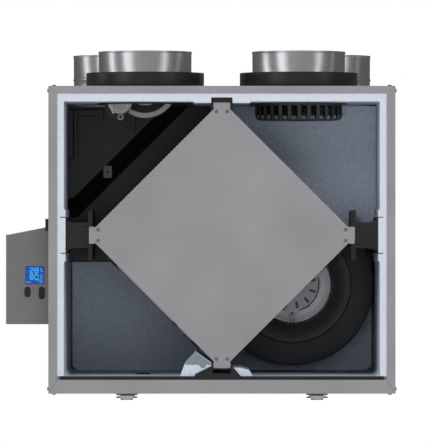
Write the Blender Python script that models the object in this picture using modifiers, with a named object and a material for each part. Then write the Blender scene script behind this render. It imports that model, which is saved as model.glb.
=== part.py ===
"""Heat recovery ventilator, door off: casing, foam lining, crossflow core, two fans and a defrost damper.

Metres, +Z up. +X is to the unit's right seen from its open front, and +Y points at the wall it hangs on.
The origin is the centre of the back panel's outer face.
"""
import math

import bmesh
import bpy
from mathutils import Matrix, Vector

GAP = 0.0003

# Casing
WIDTH, HEIGHT, DEPTH = 0.565, 0.501, 0.430
HALF_W, HALF_H = WIDTH / 2, HEIGHT / 2
FRONT = -DEPTH
SHEET = 0.0012
SIDE_FLANGE, TOP_FLANGE, BOTTOM_FLANGE = 0.014, 0.012, 0.0225

# Foam lining
FOAM_FRONT = FRONT + 0.006
FOAM_BACK = -SHEET - GAP
INNER_X = 0.257
BAND_X = 0.2545
BAND_LOW, BAND_HIGH = -0.0365, 0.0504
CEILING, RIB_CEILING, RIB_HALF = 0.2249, 0.2226, 0.047
FLOOR = -0.2222
REAR_WALL = -0.026
FILLET = 0.008

# Ports in the top
FRONT_PORT_X, FRONT_PORT_Y = 0.1265, FRONT + 0.115
REAR_PORT_X, REAR_PORT_Y = 0.1733, FRONT + 0.322
COLLAR_R, COLLAR_WALL, COLLAR_TOP = 0.0762, 0.0012, 0.3095
PORT_HOLE_R, FOAM_HOLE_R = 0.0735, 0.0765
COLLAR_FOOT_R = 0.0850
PORTS = (
    (-FRONT_PORT_X, FRONT_PORT_Y),
    (FRONT_PORT_X, FRONT_PORT_Y),
    (-REAR_PORT_X, REAR_PORT_Y),
    (REAR_PORT_X, REAR_PORT_Y),
)
DRAIN_X, DRAIN_Y = -0.130, FRONT + 0.150
RING_R, RING_WALL, RING_TOP = 0.0970, 0.0020, 0.2744

# Crossflow core
CORE_Z = 0.0073
CORE_FRONT, CORE_BACK = FRONT + 0.008, FRONT + 0.208
PLATE = 0.002
TIP_REACH, TIP_HALF, TAB_REACH, TAB_HALF = 0.2065, 0.0125, 0.2166, 0.0140
BLOCK_REACH, BLOCK_TIP = 0.2015, 0.1900
FILTER_THICK, FILTER_HALF = 0.010, 0.1245
RAIL_BACK = FRONT + 0.204

# Divisions behind the core
DIVIDER_LEFT, DIVIDER_RIGHT = -0.0222, -0.0192
PARTITION_FRONT, PARTITION_BACK = FRONT + 0.2086, FRONT + 0.2106
RIGHT_WALL_FRONT, RIGHT_WALL_BACK = FRONT + 0.2100, FRONT + 0.2350
SHELF_LOW, SHELF_HIGH = 0.0695, 0.0945

# Supply blower
BLOWER_X, BLOWER_Z = 0.1185, -0.0749
SCROLL_R, SCROLL_WALL = 0.136, 0.002
SCROLL_FRONT, SCROLL_BACK = FRONT + 0.285, FRONT + 0.395
NECK_RIGHT, NECK_TOP = 0.075, 0.0960
INLET_HOLE_R = 0.0930
HUB_R = 0.0437
BLADE_COUNT = 20

# Defrost damper
FLAP_R, FLAP_THICK, FLAP_Z = 0.055, 0.003, 0.254
SEAT_BORE_R = 0.0565
MOTOR_X, MOTOR_Z, MOTOR_R = -0.168, 0.2274, 0.0205
MOTOR_FRONT, MOTOR_BACK = FRONT + 0.085, FRONT + 0.105

# Exhaust fan
GUARD_R, GUARD_WALL, GUARD_BOTTOM = 0.0718, 0.0020, 0.1964
GUARD_WINDOWS = 28
EXHAUST_BLADES = 7

# Control box
BOX_LEFT, BOX_RIGHT = -0.3523, -HALF_W - GAP
BOX_FRONT, BOX_BACK = FRONT + 0.025, FRONT + 0.265
BOX_BOTTOM, BOX_SHOULDER, BOX_TOP = -0.1378, 0.0083, 0.0212
BOX_WALL = 0.0025
SCREEN_X, SCREEN_Z, SCREEN_HALF_W, SCREEN_HALF_H = -0.3052, -0.058, 0.0155, 0.01475
BUTTONS = {"left": (-0.3173, -0.0852, 0.00475, 0.00825), "right": (-0.2939, -0.0869, 0.0046, 0.00995)}

# Door latches
LATCH_X = 0.155
LATCH_HINGE_Y, LATCH_HINGE_Z = FRONT + 0.008, -0.2565

ROUND = 32

# Finishes: colour, roughness, metallic
GREY_STEEL = ((0.28, 0.28, 0.29), 0.45, 0.7)
GALVANISED = ((0.55, 0.56, 0.57), 0.35, 1.0)
FOAM = ((0.50, 0.53, 0.58), 0.9, 0.0)
BLACK_PLASTIC = ((0.020, 0.020, 0.022), 0.45, 0.0)
GREY_PLASTIC = ((0.15, 0.15, 0.15), 0.5, 0.0)
FILTER_MEDIA = ((0.05, 0.05, 0.05), 0.95, 0.0)
CORE_FILM = ((0.45, 0.47, 0.50), 0.5, 0.0)
ALUMINIUM = ((0.50, 0.50, 0.50), 0.35, 1.0)
SCREEN_BLUE = ((0.01, 0.05, 0.50), 0.2, 0.0)
BOARD_GREEN = ((0.02, 0.15, 0.05), 0.5, 0.0)

PLANES = {
    "front": (math.pi / 2, 0.0, 0.0),
    "top": (0.0, 0.0, 0.0),
}
AXES = {
    "x": (0.0, math.pi / 2, 0.0),
    "y": (math.pi / 2, 0.0, 0.0),
    "z": (0.0, 0.0, 0.0),
}


def clear_scene():
    for old in list(bpy.data.objects):
        bpy.data.objects.remove(old, do_unlink=True)


def new_collection(name):
    collection = bpy.data.collections.new(name)
    bpy.context.scene.collection.children.link(collection)
    return collection


clear_scene()
PARTS = new_collection("heat_recovery_unit")
CUTTERS = new_collection("cutters")


def paint(obj, finish):
    """Give the object its own material, from a colour, a roughness and a metallic value."""
    colour, roughness, metallic = finish
    material = bpy.data.materials.new(obj.name)
    material.use_nodes = True
    shader = material.node_tree.nodes["Principled BSDF"]
    shader.inputs["Base Color"].default_value = (*colour, 1.0)
    shader.inputs["Roughness"].default_value = roughness
    shader.inputs["Metallic"].default_value = metallic
    obj.data.materials.clear()
    obj.data.materials.append(material)


def place(obj, finish):
    """A finished part has a finish; a cutter or a guide has none."""
    if finish is None:
        CUTTERS.objects.link(obj)
        obj.hide_render = True
        obj.display_type = "WIRE"
    else:
        PARTS.objects.link(obj)
        paint(obj, finish)
    return obj


def mesh_object(name, bm, finish):
    mesh = bpy.data.meshes.new(name)
    bmesh.ops.recalc_face_normals(bm, faces=bm.faces)
    bm.to_mesh(mesh)
    bm.free()
    return place(bpy.data.objects.new(name, mesh), finish)


def add_box(name, low, high, finish=None):
    """A block between two opposite corners, with its origin at its centre."""
    low, high = Vector(low), Vector(high)
    bm = bmesh.new()
    bmesh.ops.create_cube(bm, size=1.0)
    bmesh.ops.scale(bm, vec=high - low, verts=bm.verts)
    obj = mesh_object(name, bm, finish)
    obj.location = (low + high) / 2
    return obj


def add_spokes(name, centre, axis, count, low, high, finish=None, pitch=0.0, start=0.0):
    """Blocks set round an axis: each spans low to high with +X outward, turned by pitch about that radius."""
    low, high = Vector(low), Vector(high)
    middle = (low + high) / 2
    bm = bmesh.new()
    for index in range(count):
        turn = Matrix.Rotation(start + index * math.tau / count, 4, "Z")
        lean = Matrix.Rotation(pitch, 4, "X")
        size = Matrix.Diagonal((*(high - low), 1.0))
        bmesh.ops.create_cube(bm, size=1.0, matrix=turn @ Matrix.Translation(middle) @ lean @ size)
    obj = mesh_object(name, bm, finish)
    obj.location = centre
    obj.rotation_euler = AXES[axis]
    return obj


def add_cylinder(name, centre, axis, radius, length, finish=None, sides=ROUND):
    bm = bmesh.new()
    bmesh.ops.create_cone(bm, cap_ends=True, segments=sides, radius1=radius, radius2=radius, depth=length)
    obj = mesh_object(name, bm, finish)
    obj.location = centre
    obj.rotation_euler = AXES[axis]
    return obj


def add_turned(name, profile, centre, axis, finish=None, closed=True, steps=ROUND):
    """Turn a profile of (radius, height) round an axis. It runs down its outer side.

    About Y the height is towards the open front.
    """
    mesh = bpy.data.meshes.new(name)
    points = [(radius, 0.0, height) for radius, height in profile]
    edges = [(index, index + 1) for index in range(len(points) - 1)]
    if closed:
        edges.append((len(points) - 1, 0))
    mesh.from_pydata(points, edges, [])
    obj = place(bpy.data.objects.new(name, mesh), finish)
    obj.location = centre
    obj.rotation_euler = AXES[axis]
    screw = obj.modifiers.new("turn", "SCREW")
    screw.steps = steps
    screw.render_steps = steps
    screw.use_merge_vertices = True
    screw.merge_threshold = 0.00001
    screw.use_smooth_shade = True
    return obj


def add_plate(name, loops, low, high, plane, finish=None):
    """A flat outline between two places along its normal. The loops after the first are holes in it."""
    curve = bpy.data.curves.new(name, "CURVE")
    curve.dimensions = "2D"
    curve.fill_mode = "BOTH"
    curve.extrude = (high - low) / 2
    for loop in loops:
        spline = curve.splines.new("POLY")
        spline.points.add(len(loop) - 1)
        spline.use_cyclic_u = True
        for point, (across, along) in zip(spline.points, loop):
            point.co = (across, along, 0.0, 1.0)
    outline = bpy.data.objects.new(name + "_outline", curve)
    CUTTERS.objects.link(outline)
    middle = (low + high) / 2
    outline.location = (0.0, middle, 0.0) if plane == "front" else (0.0, 0.0, middle)
    outline.rotation_euler = PLANES[plane]
    bpy.context.view_layer.update()
    evaluated = outline.evaluated_get(bpy.context.evaluated_depsgraph_get())
    bm = bmesh.new()
    bm.from_mesh(bpy.data.meshes.new_from_object(evaluated))
    bmesh.ops.remove_doubles(bm, verts=bm.verts, dist=0.00001)
    obj = mesh_object(name, bm, finish)
    obj.matrix_world = outline.matrix_world
    bpy.data.objects.remove(outline, do_unlink=True)
    return obj


def combine(obj, other, operation):
    boolean = obj.modifiers.new(other.name, "BOOLEAN")
    boolean.operation = operation
    boolean.object = other
    boolean.solver = "EXACT"


def cut(obj, *cutters):
    for cutter in cutters:
        combine(obj, cutter, "DIFFERENCE")
    return obj


def join(obj, *others):
    for other in others:
        combine(obj, other, "UNION")
    return obj


def circle(across, along, radius, sides=ROUND):
    turns = [index * math.tau / sides for index in range(sides)]
    return [(across + radius * math.cos(turn), along + radius * math.sin(turn)) for turn in turns]


def arc(across, along, radius, start, end, count):
    """Points on an arc between two angles in degrees."""
    turns = [math.radians(start + (end - start) * index / count) for index in range(count + 1)]
    return [(across + radius * math.cos(turn), along + radius * math.sin(turn)) for turn in turns]


def flip(points):
    """The same outline on the other side of the middle plane."""
    return [(-across, along) for across, along in reversed(points)]


def hang_on(name, centre, *children):
    """Put an empty on a joint's axis and parent the moving pieces to it."""
    pivot = bpy.data.objects.new(name, None)
    PARTS.objects.link(pivot)
    pivot.location = centre
    bpy.context.view_layer.update()
    for child in children:
        child.parent = pivot
        child.matrix_parent_inverse = pivot.matrix_world.inverted()


# Casing

def build_casing():
    add_box("casing_back", (-HALF_W, -SHEET, -HALF_H), (HALF_W, 0.0, HALF_H), GREY_STEEL)
    for name, side in (("casing_left", -1), ("casing_right", 1)):
        build_casing_side(name, side)
    build_casing_end("casing_top", 1, TOP_FLANGE)
    bottom = build_casing_end("casing_bottom", -1, BOTTOM_FLANGE)
    cut(bottom, add_cylinder("casing_drain_hole", (DRAIN_X, DRAIN_Y, -HALF_H), "z", 0.0074, 0.01, sides=16))
    cut(bpy.data.objects["casing_top"], port_holes("casing_port_holes", PORT_HOLE_R, HALF_H))


def build_casing_side(name, side):
    """A side panel with a front flange, mitred where it meets the top and bottom flanges."""
    slope_up = TOP_FLANGE / SIDE_FLANGE
    slope_down = BOTTOM_FLANGE / SIDE_FLANGE
    inner = HALF_W - SHEET
    outline = [
        (HALF_W, -HALF_H),
        (HALF_W, HALF_H),
        (inner, HALF_H),
        (inner, HALF_H - SHEET * slope_up),
        (HALF_W - SIDE_FLANGE, HALF_H - TOP_FLANGE),
        (HALF_W - SIDE_FLANGE, -HALF_H + BOTTOM_FLANGE),
        (inner, -HALF_H + SHEET * slope_down),
        (inner, -HALF_H),
    ]
    if side < 0:
        outline = flip(outline)
    flange = add_plate(name, [outline], FRONT, FRONT + SHEET, "front", GREY_STEEL)
    low_x, high_x = sorted((side * inner, side * HALF_W))
    sheet = add_box(name + "_sheet", (low_x, FRONT, -HALF_H), (high_x, FOAM_BACK, HALF_H))
    return join(flange, sheet)


def build_casing_end(name, end, flange_width):
    """The top or bottom panel, between the side panels, with its front flange."""
    slope = flange_width / SIDE_FLANGE
    outer = HALF_W - SHEET - GAP
    corner = end * (HALF_H - (SHEET + GAP) * slope + 2 * GAP)
    inner_x = HALF_W - SIDE_FLANGE - 0.0004
    inner_z = end * (HALF_H - flange_width)
    half = [(inner_x, inner_z), (outer, corner), (outer, end * HALF_H)]
    outline = half + flip(half)
    flange = add_plate(name, [outline], FRONT, FRONT + SHEET, "front", GREY_STEEL)
    low_z, high_z = sorted((end * (HALF_H - SHEET), end * HALF_H))
    sheet = add_box(name + "_sheet", (-outer, FRONT, low_z), (outer, FOAM_BACK, high_z))
    return join(flange, sheet)


def port_holes(name, radius, height):
    """One cutter with a cylinder for each of the four ports."""
    bm = bmesh.new()
    for port_x, port_y in PORTS:
        place_at = Matrix.Translation((port_x, port_y, height))
        bmesh.ops.create_cone(
            bm, cap_ends=True, segments=ROUND, radius1=radius, radius2=radius, depth=0.08, matrix=place_at)
    return mesh_object(name, bm, None)


# Foam lining

def build_lining():
    outer_x, outer_z = HALF_W - SHEET - GAP, HALF_H - SHEET - GAP
    bevel = INNER_X - BAND_X
    right = [
        (outer_x, -outer_z),
        (outer_x, outer_z),
        (INNER_X, outer_z),
        (INNER_X, BAND_HIGH),
        (BAND_X, BAND_HIGH - bevel),
        (BAND_X, BAND_LOW + bevel),
        (INNER_X, BAND_LOW),
        (INNER_X, -outer_z),
    ]
    add_plate("insulation_left", [flip(right)], FOAM_FRONT, FOAM_BACK, "front", FOAM)
    add_plate("insulation_right", [right], FOAM_FRONT, FOAM_BACK, "front", FOAM)
    build_lining_top(outer_z)
    build_lining_floor(outer_z)
    band = BAND_X - GAP
    low_z, high_z = FLOOR + GAP, RIB_CEILING - GAP
    half = [(band - FILLET, low_z), (band, low_z + FILLET), (band, high_z)]
    add_plate("insulation_back", [half + flip(half)], REAR_WALL, FOAM_BACK, "front", FOAM)


def build_lining_top(outer_z):
    edge = INNER_X - GAP
    root = CEILING + 0.003
    rib = [(RIB_HALF, root), (RIB_HALF, CEILING), (RIB_HALF - 0.0023, RIB_CEILING)]
    top = add_box("insulation_top", (-edge, FOAM_FRONT, CEILING), (edge, FOAM_BACK, outer_z), FOAM)
    join(top, add_plate("ceiling_rib", [rib + flip(rib)], FOAM_FRONT, FOAM_BACK, "front"))
    low, high = (-0.0172, FOAM_FRONT - 0.01, 0.20), (0.0172, CORE_BACK + 0.0005, 0.2316)
    cut(top, add_box("guide_groove", low, high), port_holes("foam_port_holes", FOAM_HOLE_R, 0.24))


def build_lining_floor(outer_z):
    """The floor slab: rounded up into the side walls, with the core's wedge and a low bump on it."""
    edge = INNER_X - GAP
    half = [(edge, -outer_z), (edge, FLOOR + FILLET)]
    half += arc(edge - FILLET, FLOOR + FILLET, FILLET, 0, -90, 4)[1:]
    floor = add_plate("insulation_floor", [flip(half) + half], FOAM_FRONT, FOAM_BACK, "front", FOAM)
    root = FLOOR - 0.005
    wedge = [(-0.0172, root), (-0.0172, -0.200), (-0.042, -0.182), (-0.061, -0.203), (-0.070, root)]
    bump = [(0.0172, root), (0.050, root), (0.050, FLOOR), (0.044, -0.2125), (0.030, -0.2085)]
    bump.append((0.0172, -0.2080))
    join(
        floor,
        add_plate("floor_wedge", [wedge], FOAM_FRONT, RAIL_BACK, "front"),
        add_plate("floor_bump", [bump], FOAM_FRONT, RAIL_BACK, "front"),
    )
    cut(floor, add_cylinder("foam_drain_hole", (DRAIN_X, DRAIN_Y, -0.235), "z", 0.0074, 0.08, sides=16))


# Divisions between the air paths

def build_divisions():
    band = BAND_X - 2 * GAP
    edge = INNER_X - 2 * GAP
    top = RIB_CEILING - 2 * GAP
    step = BAND_HIGH + GAP
    left = [
        (-band, -0.037),
        (DIVIDER_LEFT - GAP, -0.037),
        (DIVIDER_LEFT - GAP, top),
        (-edge, top),
        (-edge, step),
        (-band, step),
    ]
    add_plate("upper_left_partition", [left], PARTITION_FRONT, PARTITION_BACK, "front", BLACK_PLASTIC)
    low = (DIVIDER_LEFT, PARTITION_FRONT, FLOOR + GAP)
    add_box("rear_divider", low, (DIVIDER_RIGHT, REAR_WALL - GAP, top), BLACK_PLASTIC)
    right = [
        (DIVIDER_RIGHT + GAP, 0.0),
        (band, 0.0),
        (band, step),
        (edge, step),
        (edge, top),
        (DIVIDER_RIGHT + GAP, top),
    ]
    add_plate("upper_right_wall", [right], RIGHT_WALL_FRONT, RIGHT_WALL_BACK, "front", FOAM)
    slot_right = NECK_RIGHT + 2 * GAP
    slot_front, slot_back = SCROLL_FRONT - 2 * GAP, SCROLL_BACK + 2 * GAP
    wall_side, shelf_back = RIGHT_WALL_BACK + GAP, REAR_WALL - GAP
    shelf = [
        (DIVIDER_RIGHT + GAP, wall_side),
        (edge, wall_side),
        (edge, shelf_back),
        (DIVIDER_RIGHT + GAP, shelf_back),
        (DIVIDER_RIGHT + GAP, slot_back),
        (slot_right, slot_back),
        (slot_right, slot_front),
        (DIVIDER_RIGHT + GAP, slot_front),
    ]
    add_plate("riser_shelf", [shelf], SHELF_LOW, SHELF_HIGH, "top", FOAM)


# Core and the rails that carry it

def build_rails():
    wall, flange = BAND_X - GAP, 0.0293
    upper = [
        (wall, flange),
        (wall - 0.0025, flange),
        (wall - 0.0025, 0.0248),
        (0.2440, 0.0208),
        (0.2180, 0.0208),
        (0.2180, 0.0407),
        (0.2110, 0.0407),
        (0.2110, 0.0149),
        (0.2256, 0.0149),
    ]
    right = [(across, CORE_Z + along) for across, along in upper]
    right += [(across, CORE_Z - along) for across, along in reversed(upper)]
    add_plate("core_guide_right", [right], FOAM_FRONT, RAIL_BACK, "front", BLACK_PLASTIC)
    add_plate("core_guide_left", [flip(right)], FOAM_FRONT, RAIL_BACK, "front", BLACK_PLASTIC)
    lip_in, lip_out = 0.0146, 0.0167
    half = [(lip_out, 0.2312), (lip_out, 0.2145), (lip_in, 0.2145), (lip_in, 0.2243)]
    add_plate("core_guide_top", [half + flip(half)], FOAM_FRONT, RAIL_BACK, "front", BLACK_PLASTIC)
    build_sill(lip_in, lip_out)


def build_sill(lip_in, lip_out):
    """The black strip under the opening, with a hump that ends the rail under the core."""
    rail_floor = -0.2175
    low, lip, reach = -0.2450, FLOOR, 0.263
    outline = [
        (-reach, low),
        (reach, low),
        (reach, lip),
        (0.031, lip),
        (0.016, -0.205),
        (lip_in, -0.205),
        (lip_in, rail_floor),
        (-lip_in, rail_floor),
        (-lip_in, -0.205),
        (-0.016, -0.205),
        (-0.044, -0.219),
        (-0.044, lip),
        (-reach, lip),
    ]
    sill = add_plate("front_sill", [outline], FRONT + 0.0015, FOAM_FRONT - GAP, "front", BLACK_PLASTIC)
    half = [(lip_out, FLOOR + GAP), (lip_out, -0.2095), (lip_in, -0.2095), (lip_in, rail_floor)]
    join(sill, add_plate("bottom_rail", [half + flip(half)], FRONT + 0.003, RAIL_BACK, "front"))


def diamond_plate(name, low, high):
    """The core's end plate: a square on its corner, each tip cut off and drawn out to a tab."""
    tip = [(TIP_HALF, TIP_REACH), (TAB_HALF, TIP_REACH + 0.002), (TAB_HALF, TAB_REACH)]
    tip += [(-across, along) for across, along in reversed(tip)]
    outline = []
    for quarter in range(4):
        turn = Matrix.Rotation(quarter * math.pi / 2, 2)
        outline += [tuple(turn @ Vector(point)) for point in tip]
    outline = [(across, CORE_Z + along) for across, along in outline]
    return add_plate(name, [outline], low, high, "front", GREY_STEEL)


def build_core():
    front = diamond_plate("core_front_plate", CORE_FRONT, CORE_FRONT + PLATE)
    rear = diamond_plate("core_rear_plate", CORE_BACK - PLATE, CORE_BACK)
    block_front, block_back = CORE_FRONT + PLATE + GAP, CORE_BACK - PLATE - GAP
    cut_half = BLOCK_REACH - BLOCK_TIP
    outline = []
    for quarter in range(4):
        turn = Matrix.Rotation(quarter * math.pi / 2, 2)
        outline += [tuple(turn @ Vector(point)) for point in ((cut_half, BLOCK_TIP), (-cut_half, BLOCK_TIP))]
    outline = [(across, CORE_Z + along) for across, along in outline]
    block = add_plate("exchanger_block", [outline], block_front, block_back, "front", CORE_FILM)
    moving = [front, rear, block]
    for name, across, along in (("top", 0, 1), ("bottom", 0, -1), ("left", -1, 0), ("right", 1, 0)):
        moving.append(core_post("core_post_" + name, across, along, block_front, block_back))
    moving.append(core_filter("filter_lower", -math.pi * 3 / 4, block_front, block_back))
    hang_on("core_carriage", (0.0, CORE_FRONT, CORE_Z), *moving)
    core_filter("filter_upper", math.pi * 3 / 4, block_front, block_back)


def core_post(name, across, along, front, back):
    """A corner bar between the end plates, outside the block's cut-off corner."""
    near, far, half = BLOCK_TIP + GAP, TIP_REACH, TIP_HALF
    corner_a = (across * near - along * half, front, CORE_Z + along * near - across * half)
    corner_b = (across * far + along * half, back, CORE_Z + along * far + across * half)
    low = [min(pair) for pair in zip(corner_a, corner_b)]
    high = [max(pair) for pair in zip(corner_a, corner_b)]
    return add_box(name, low, high, GREY_STEEL)


def core_filter(name, facing, front, back):
    """A flat filter lying on one face of the block. Its own +X points straight off that face."""
    thick, half = FILTER_THICK / 2, FILTER_HALF
    middle_y = (front + back) / 2
    reach = BLOCK_REACH / math.sqrt(2) + GAP + thick
    deep = (back - front) / 2 - GAP
    mat = add_box(name, (-thick, -deep, -half), (thick, deep, half), FILTER_MEDIA)
    mat.location = (reach * math.cos(facing), middle_y, CORE_Z + reach * math.sin(facing))
    mat.rotation_euler = (0.0, -facing, 0.0)
    return mat


# Supply blower: heights are measured forward from the scroll's front face

def build_blower():
    centre = (BLOWER_X, SCROLL_FRONT, BLOWER_Z)
    inner_r = SCROLL_R - SCROLL_WALL
    outer = scroll_outline(SCROLL_R, BLOWER_X - SCROLL_R, NECK_RIGHT, NECK_TOP)
    inner = scroll_outline(inner_r, BLOWER_X - inner_r, NECK_RIGHT - SCROLL_WALL, NECK_TOP + 0.01)
    scroll = add_plate("blower_scroll", [outer], SCROLL_FRONT, SCROLL_BACK, "front", BLACK_PLASTIC)
    hollow_front, hollow_back = SCROLL_FRONT + SCROLL_WALL, SCROLL_BACK - SCROLL_WALL
    hollow = add_plate("scroll_hollow", [inner], hollow_front, hollow_back, "front")
    cut(scroll, hollow, add_cylinder("inlet_hole", centre, "y", INLET_HOLE_R, 0.02))
    mouth = [
        (0.0975, 0.0022),
        (0.0975, GAP),
        (0.0925, GAP),
        (0.0840, -0.0045),
        (0.0740, -0.0110),
        (0.0690, -0.0180),
        (0.0670, -0.0180),
        (0.0718, -0.0105),
        (0.0822, -0.0030),
        (0.0900, 0.0022),
    ]
    add_turned("blower_inlet_ring", mouth, centre, "y", BLACK_PLASTIC)
    build_supply_impeller(centre)
    can = [(0.0, GAP), (0.0425, GAP), (0.0430, -0.0010), (0.0430, -0.0780), (0.0400, -0.0820), (0.0, -0.0820)]
    add_turned("supply_motor", can, centre, "y", ALUMINIUM, closed=False)
    build_motor_mount(centre)


def scroll_outline(radius, left, right, top):
    """The blower's outline: a round body with a neck that leaves its left side straight up."""
    meeting = math.degrees(math.acos((right - BLOWER_X) / radius))
    outline = [(left, top)]
    outline += arc(BLOWER_X, BLOWER_Z, radius, -180, meeting, 28)
    outline += [(right, top)]
    return outline


def build_supply_impeller(centre):
    drum = [
        (0.0480, -0.0120),
        (0.0620, -0.0240),
        (0.0640, -0.0300),
        (0.0640, -0.0850),
        (0.0880, -0.0880),
        (0.0880, -0.0920),
        (0.0450, -0.0920),
        (0.0450, -0.0120),
    ]
    shroud = [(0.0880, -0.0205), (0.0880, -0.0235), (0.0720, -0.0235), (0.0720, -0.0205)]
    impeller = add_turned("supply_impeller", drum, centre, "y", GREY_PLASTIC)
    low, high = (0.0730, -0.0008, -0.0900), (0.0870, 0.0008, -0.0220)
    blades = add_spokes("impeller_blades", centre, "y", BLADE_COUNT, low, high)
    join(impeller, add_turned("impeller_shroud", shroud, centre, "y"), blades)


def build_motor_mount(centre):
    """The slotted disc that carries the motor, held by three arms across the inlet."""
    low, high = 0.0028, 0.0048
    disc = [(0.0, high), (HUB_R, high), (HUB_R, low), (0.0, low)]
    mount = add_turned("supply_motor_mount", disc, centre, "y", ALUMINIUM, closed=False)
    down = -math.pi / 2
    tab = add_spokes("mount_tabs", centre, "y", 3, (0.040, -0.0090, low), (0.0565, 0.0090, high), start=down)
    arm = add_spokes("mount_arms", centre, "y", 3, (0.050, -0.0030, low), (0.0960, 0.0030, high), start=down)
    slots = add_spokes("mount_slots", centre, "y", 12, (0.029, -0.0025, 0.0), (0.041, 0.0025, 0.01))
    join(mount, tab, arm)
    cut(mount, slots)


# Ports, damper and exhaust fan

def build_ports():
    rim, foot = COLLAR_R + 0.0012, HALF_H + GAP
    inner = COLLAR_R - COLLAR_WALL
    collar = [
        (rim, COLLAR_TOP),
        (rim, COLLAR_TOP - 0.0025),
        (COLLAR_R, COLLAR_TOP - 0.0031),
        (COLLAR_R, foot + 0.0012),
        (COLLAR_FOOT_R, foot + 0.0012),
        (COLLAR_FOOT_R, foot),
        (inner, foot),
        (inner, COLLAR_TOP),
    ]
    names = ("collar_front_left", "collar_front_right", "collar_rear_left", "collar_rear_right")
    for name, (port_x, port_y) in zip(names, PORTS):
        add_turned(name, collar, (port_x, port_y, 0.0), "z", GALVANISED)
    ring_inner = RING_R - RING_WALL
    ring = [
        (RING_R, RING_TOP),
        (RING_R, foot),
        (COLLAR_FOOT_R + 0.0006, foot),
        (COLLAR_FOOT_R + 0.0006, foot + RING_WALL),
        (ring_inner, foot + RING_WALL),
        (ring_inner, RING_TOP),
    ]
    for name, (port_x, port_y) in zip(("outer_ring_left", "outer_ring_right"), PORTS):
        add_turned(name, ring, (port_x, port_y, 0.0), "z", BLACK_PLASTIC)


def build_damper():
    port_x, port_y = PORTS[0]
    at_port = (port_x, port_y, 0.0)
    flange_low, flange_high = CEILING - 0.0025, CEILING - GAP
    liner = [
        (0.0790, flange_high),
        (0.0790, flange_low),
        (0.0740, flange_low),
        (0.0740, 0.2488),
        (0.0760, 0.2488),
        (0.0760, flange_high),
    ]
    add_turned("port_liner", liner, at_port, "z", BLACK_PLASTIC)
    seat = [(0.0742, 0.2575), (0.0742, 0.2508), (SEAT_BORE_R, 0.2508), (SEAT_BORE_R, 0.2575)]
    add_turned("damper_seat", seat, at_port, "z", BLACK_PLASTIC)
    half = FLAP_THICK / 2
    face = [
        (0.0, half),
        (0.0270, half),
        (0.0270, half + 0.0010),
        (0.0325, half + 0.0010),
        (0.0325, half),
        (0.0450, half),
        (0.0450, half + 0.0010),
        (0.0530, half + 0.0010),
        (0.0530, half),
        (FLAP_R, half),
        (FLAP_R, -half),
        (0.0, -half),
    ]
    flap = add_turned("damper_flap", face, (port_x, port_y, FLAP_Z), "y", BLACK_PLASTIC, closed=False)
    join(flap, add_cylinder("flap_shaft", (port_x, port_y, FLAP_Z), "x", 0.0024, 0.112, sides=16))
    build_damper_drive()


def build_damper_drive():
    middle_y = (MOTOR_FRONT + MOTOR_BACK) / 2
    half = (MOTOR_BACK - MOTOR_FRONT) / 2
    at_motor = (MOTOR_X, middle_y, MOTOR_Z)
    can = [(0.0, half), (MOTOR_R - 0.0015, half), (MOTOR_R, half - 0.0015), (MOTOR_R, -half), (0.0, -half)]
    motor = add_turned("damper_motor", can, at_motor, "y", ALUMINIUM, closed=False)
    ear_x, ear_z = MOTOR_X + 0.0012, MOTOR_Z - 0.0254
    ear = [circle(ear_x, ear_z, 0.0048, 16), circle(ear_x, ear_z, 0.0028, 16)]
    tab_front, tab_back = MOTOR_BACK - 0.0020, MOTOR_BACK - 0.0005
    low, high = (ear_x - 0.003, tab_front, ear_z + 0.0037), (ear_x + 0.003, tab_back, MOTOR_Z - 0.015)
    join(motor, add_box("motor_tab", low, high), add_plate("motor_ear", ear, tab_front, tab_back, "front"))
    crank_y = MOTOR_BACK + GAP + 0.0015
    at_crank = (MOTOR_X, crank_y, MOTOR_Z)
    crank = add_cylinder("damper_crank", at_crank, "y", 0.0070, 0.0030, BLACK_PLASTIC, sides=20)
    low = (MOTOR_X + 0.002, crank_y - 0.0012, MOTOR_Z - 0.0022)
    join(crank, add_box("crank_arm", low, (MOTOR_X + 0.0160, crank_y + 0.0012, MOTOR_Z + 0.0022)))


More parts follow.
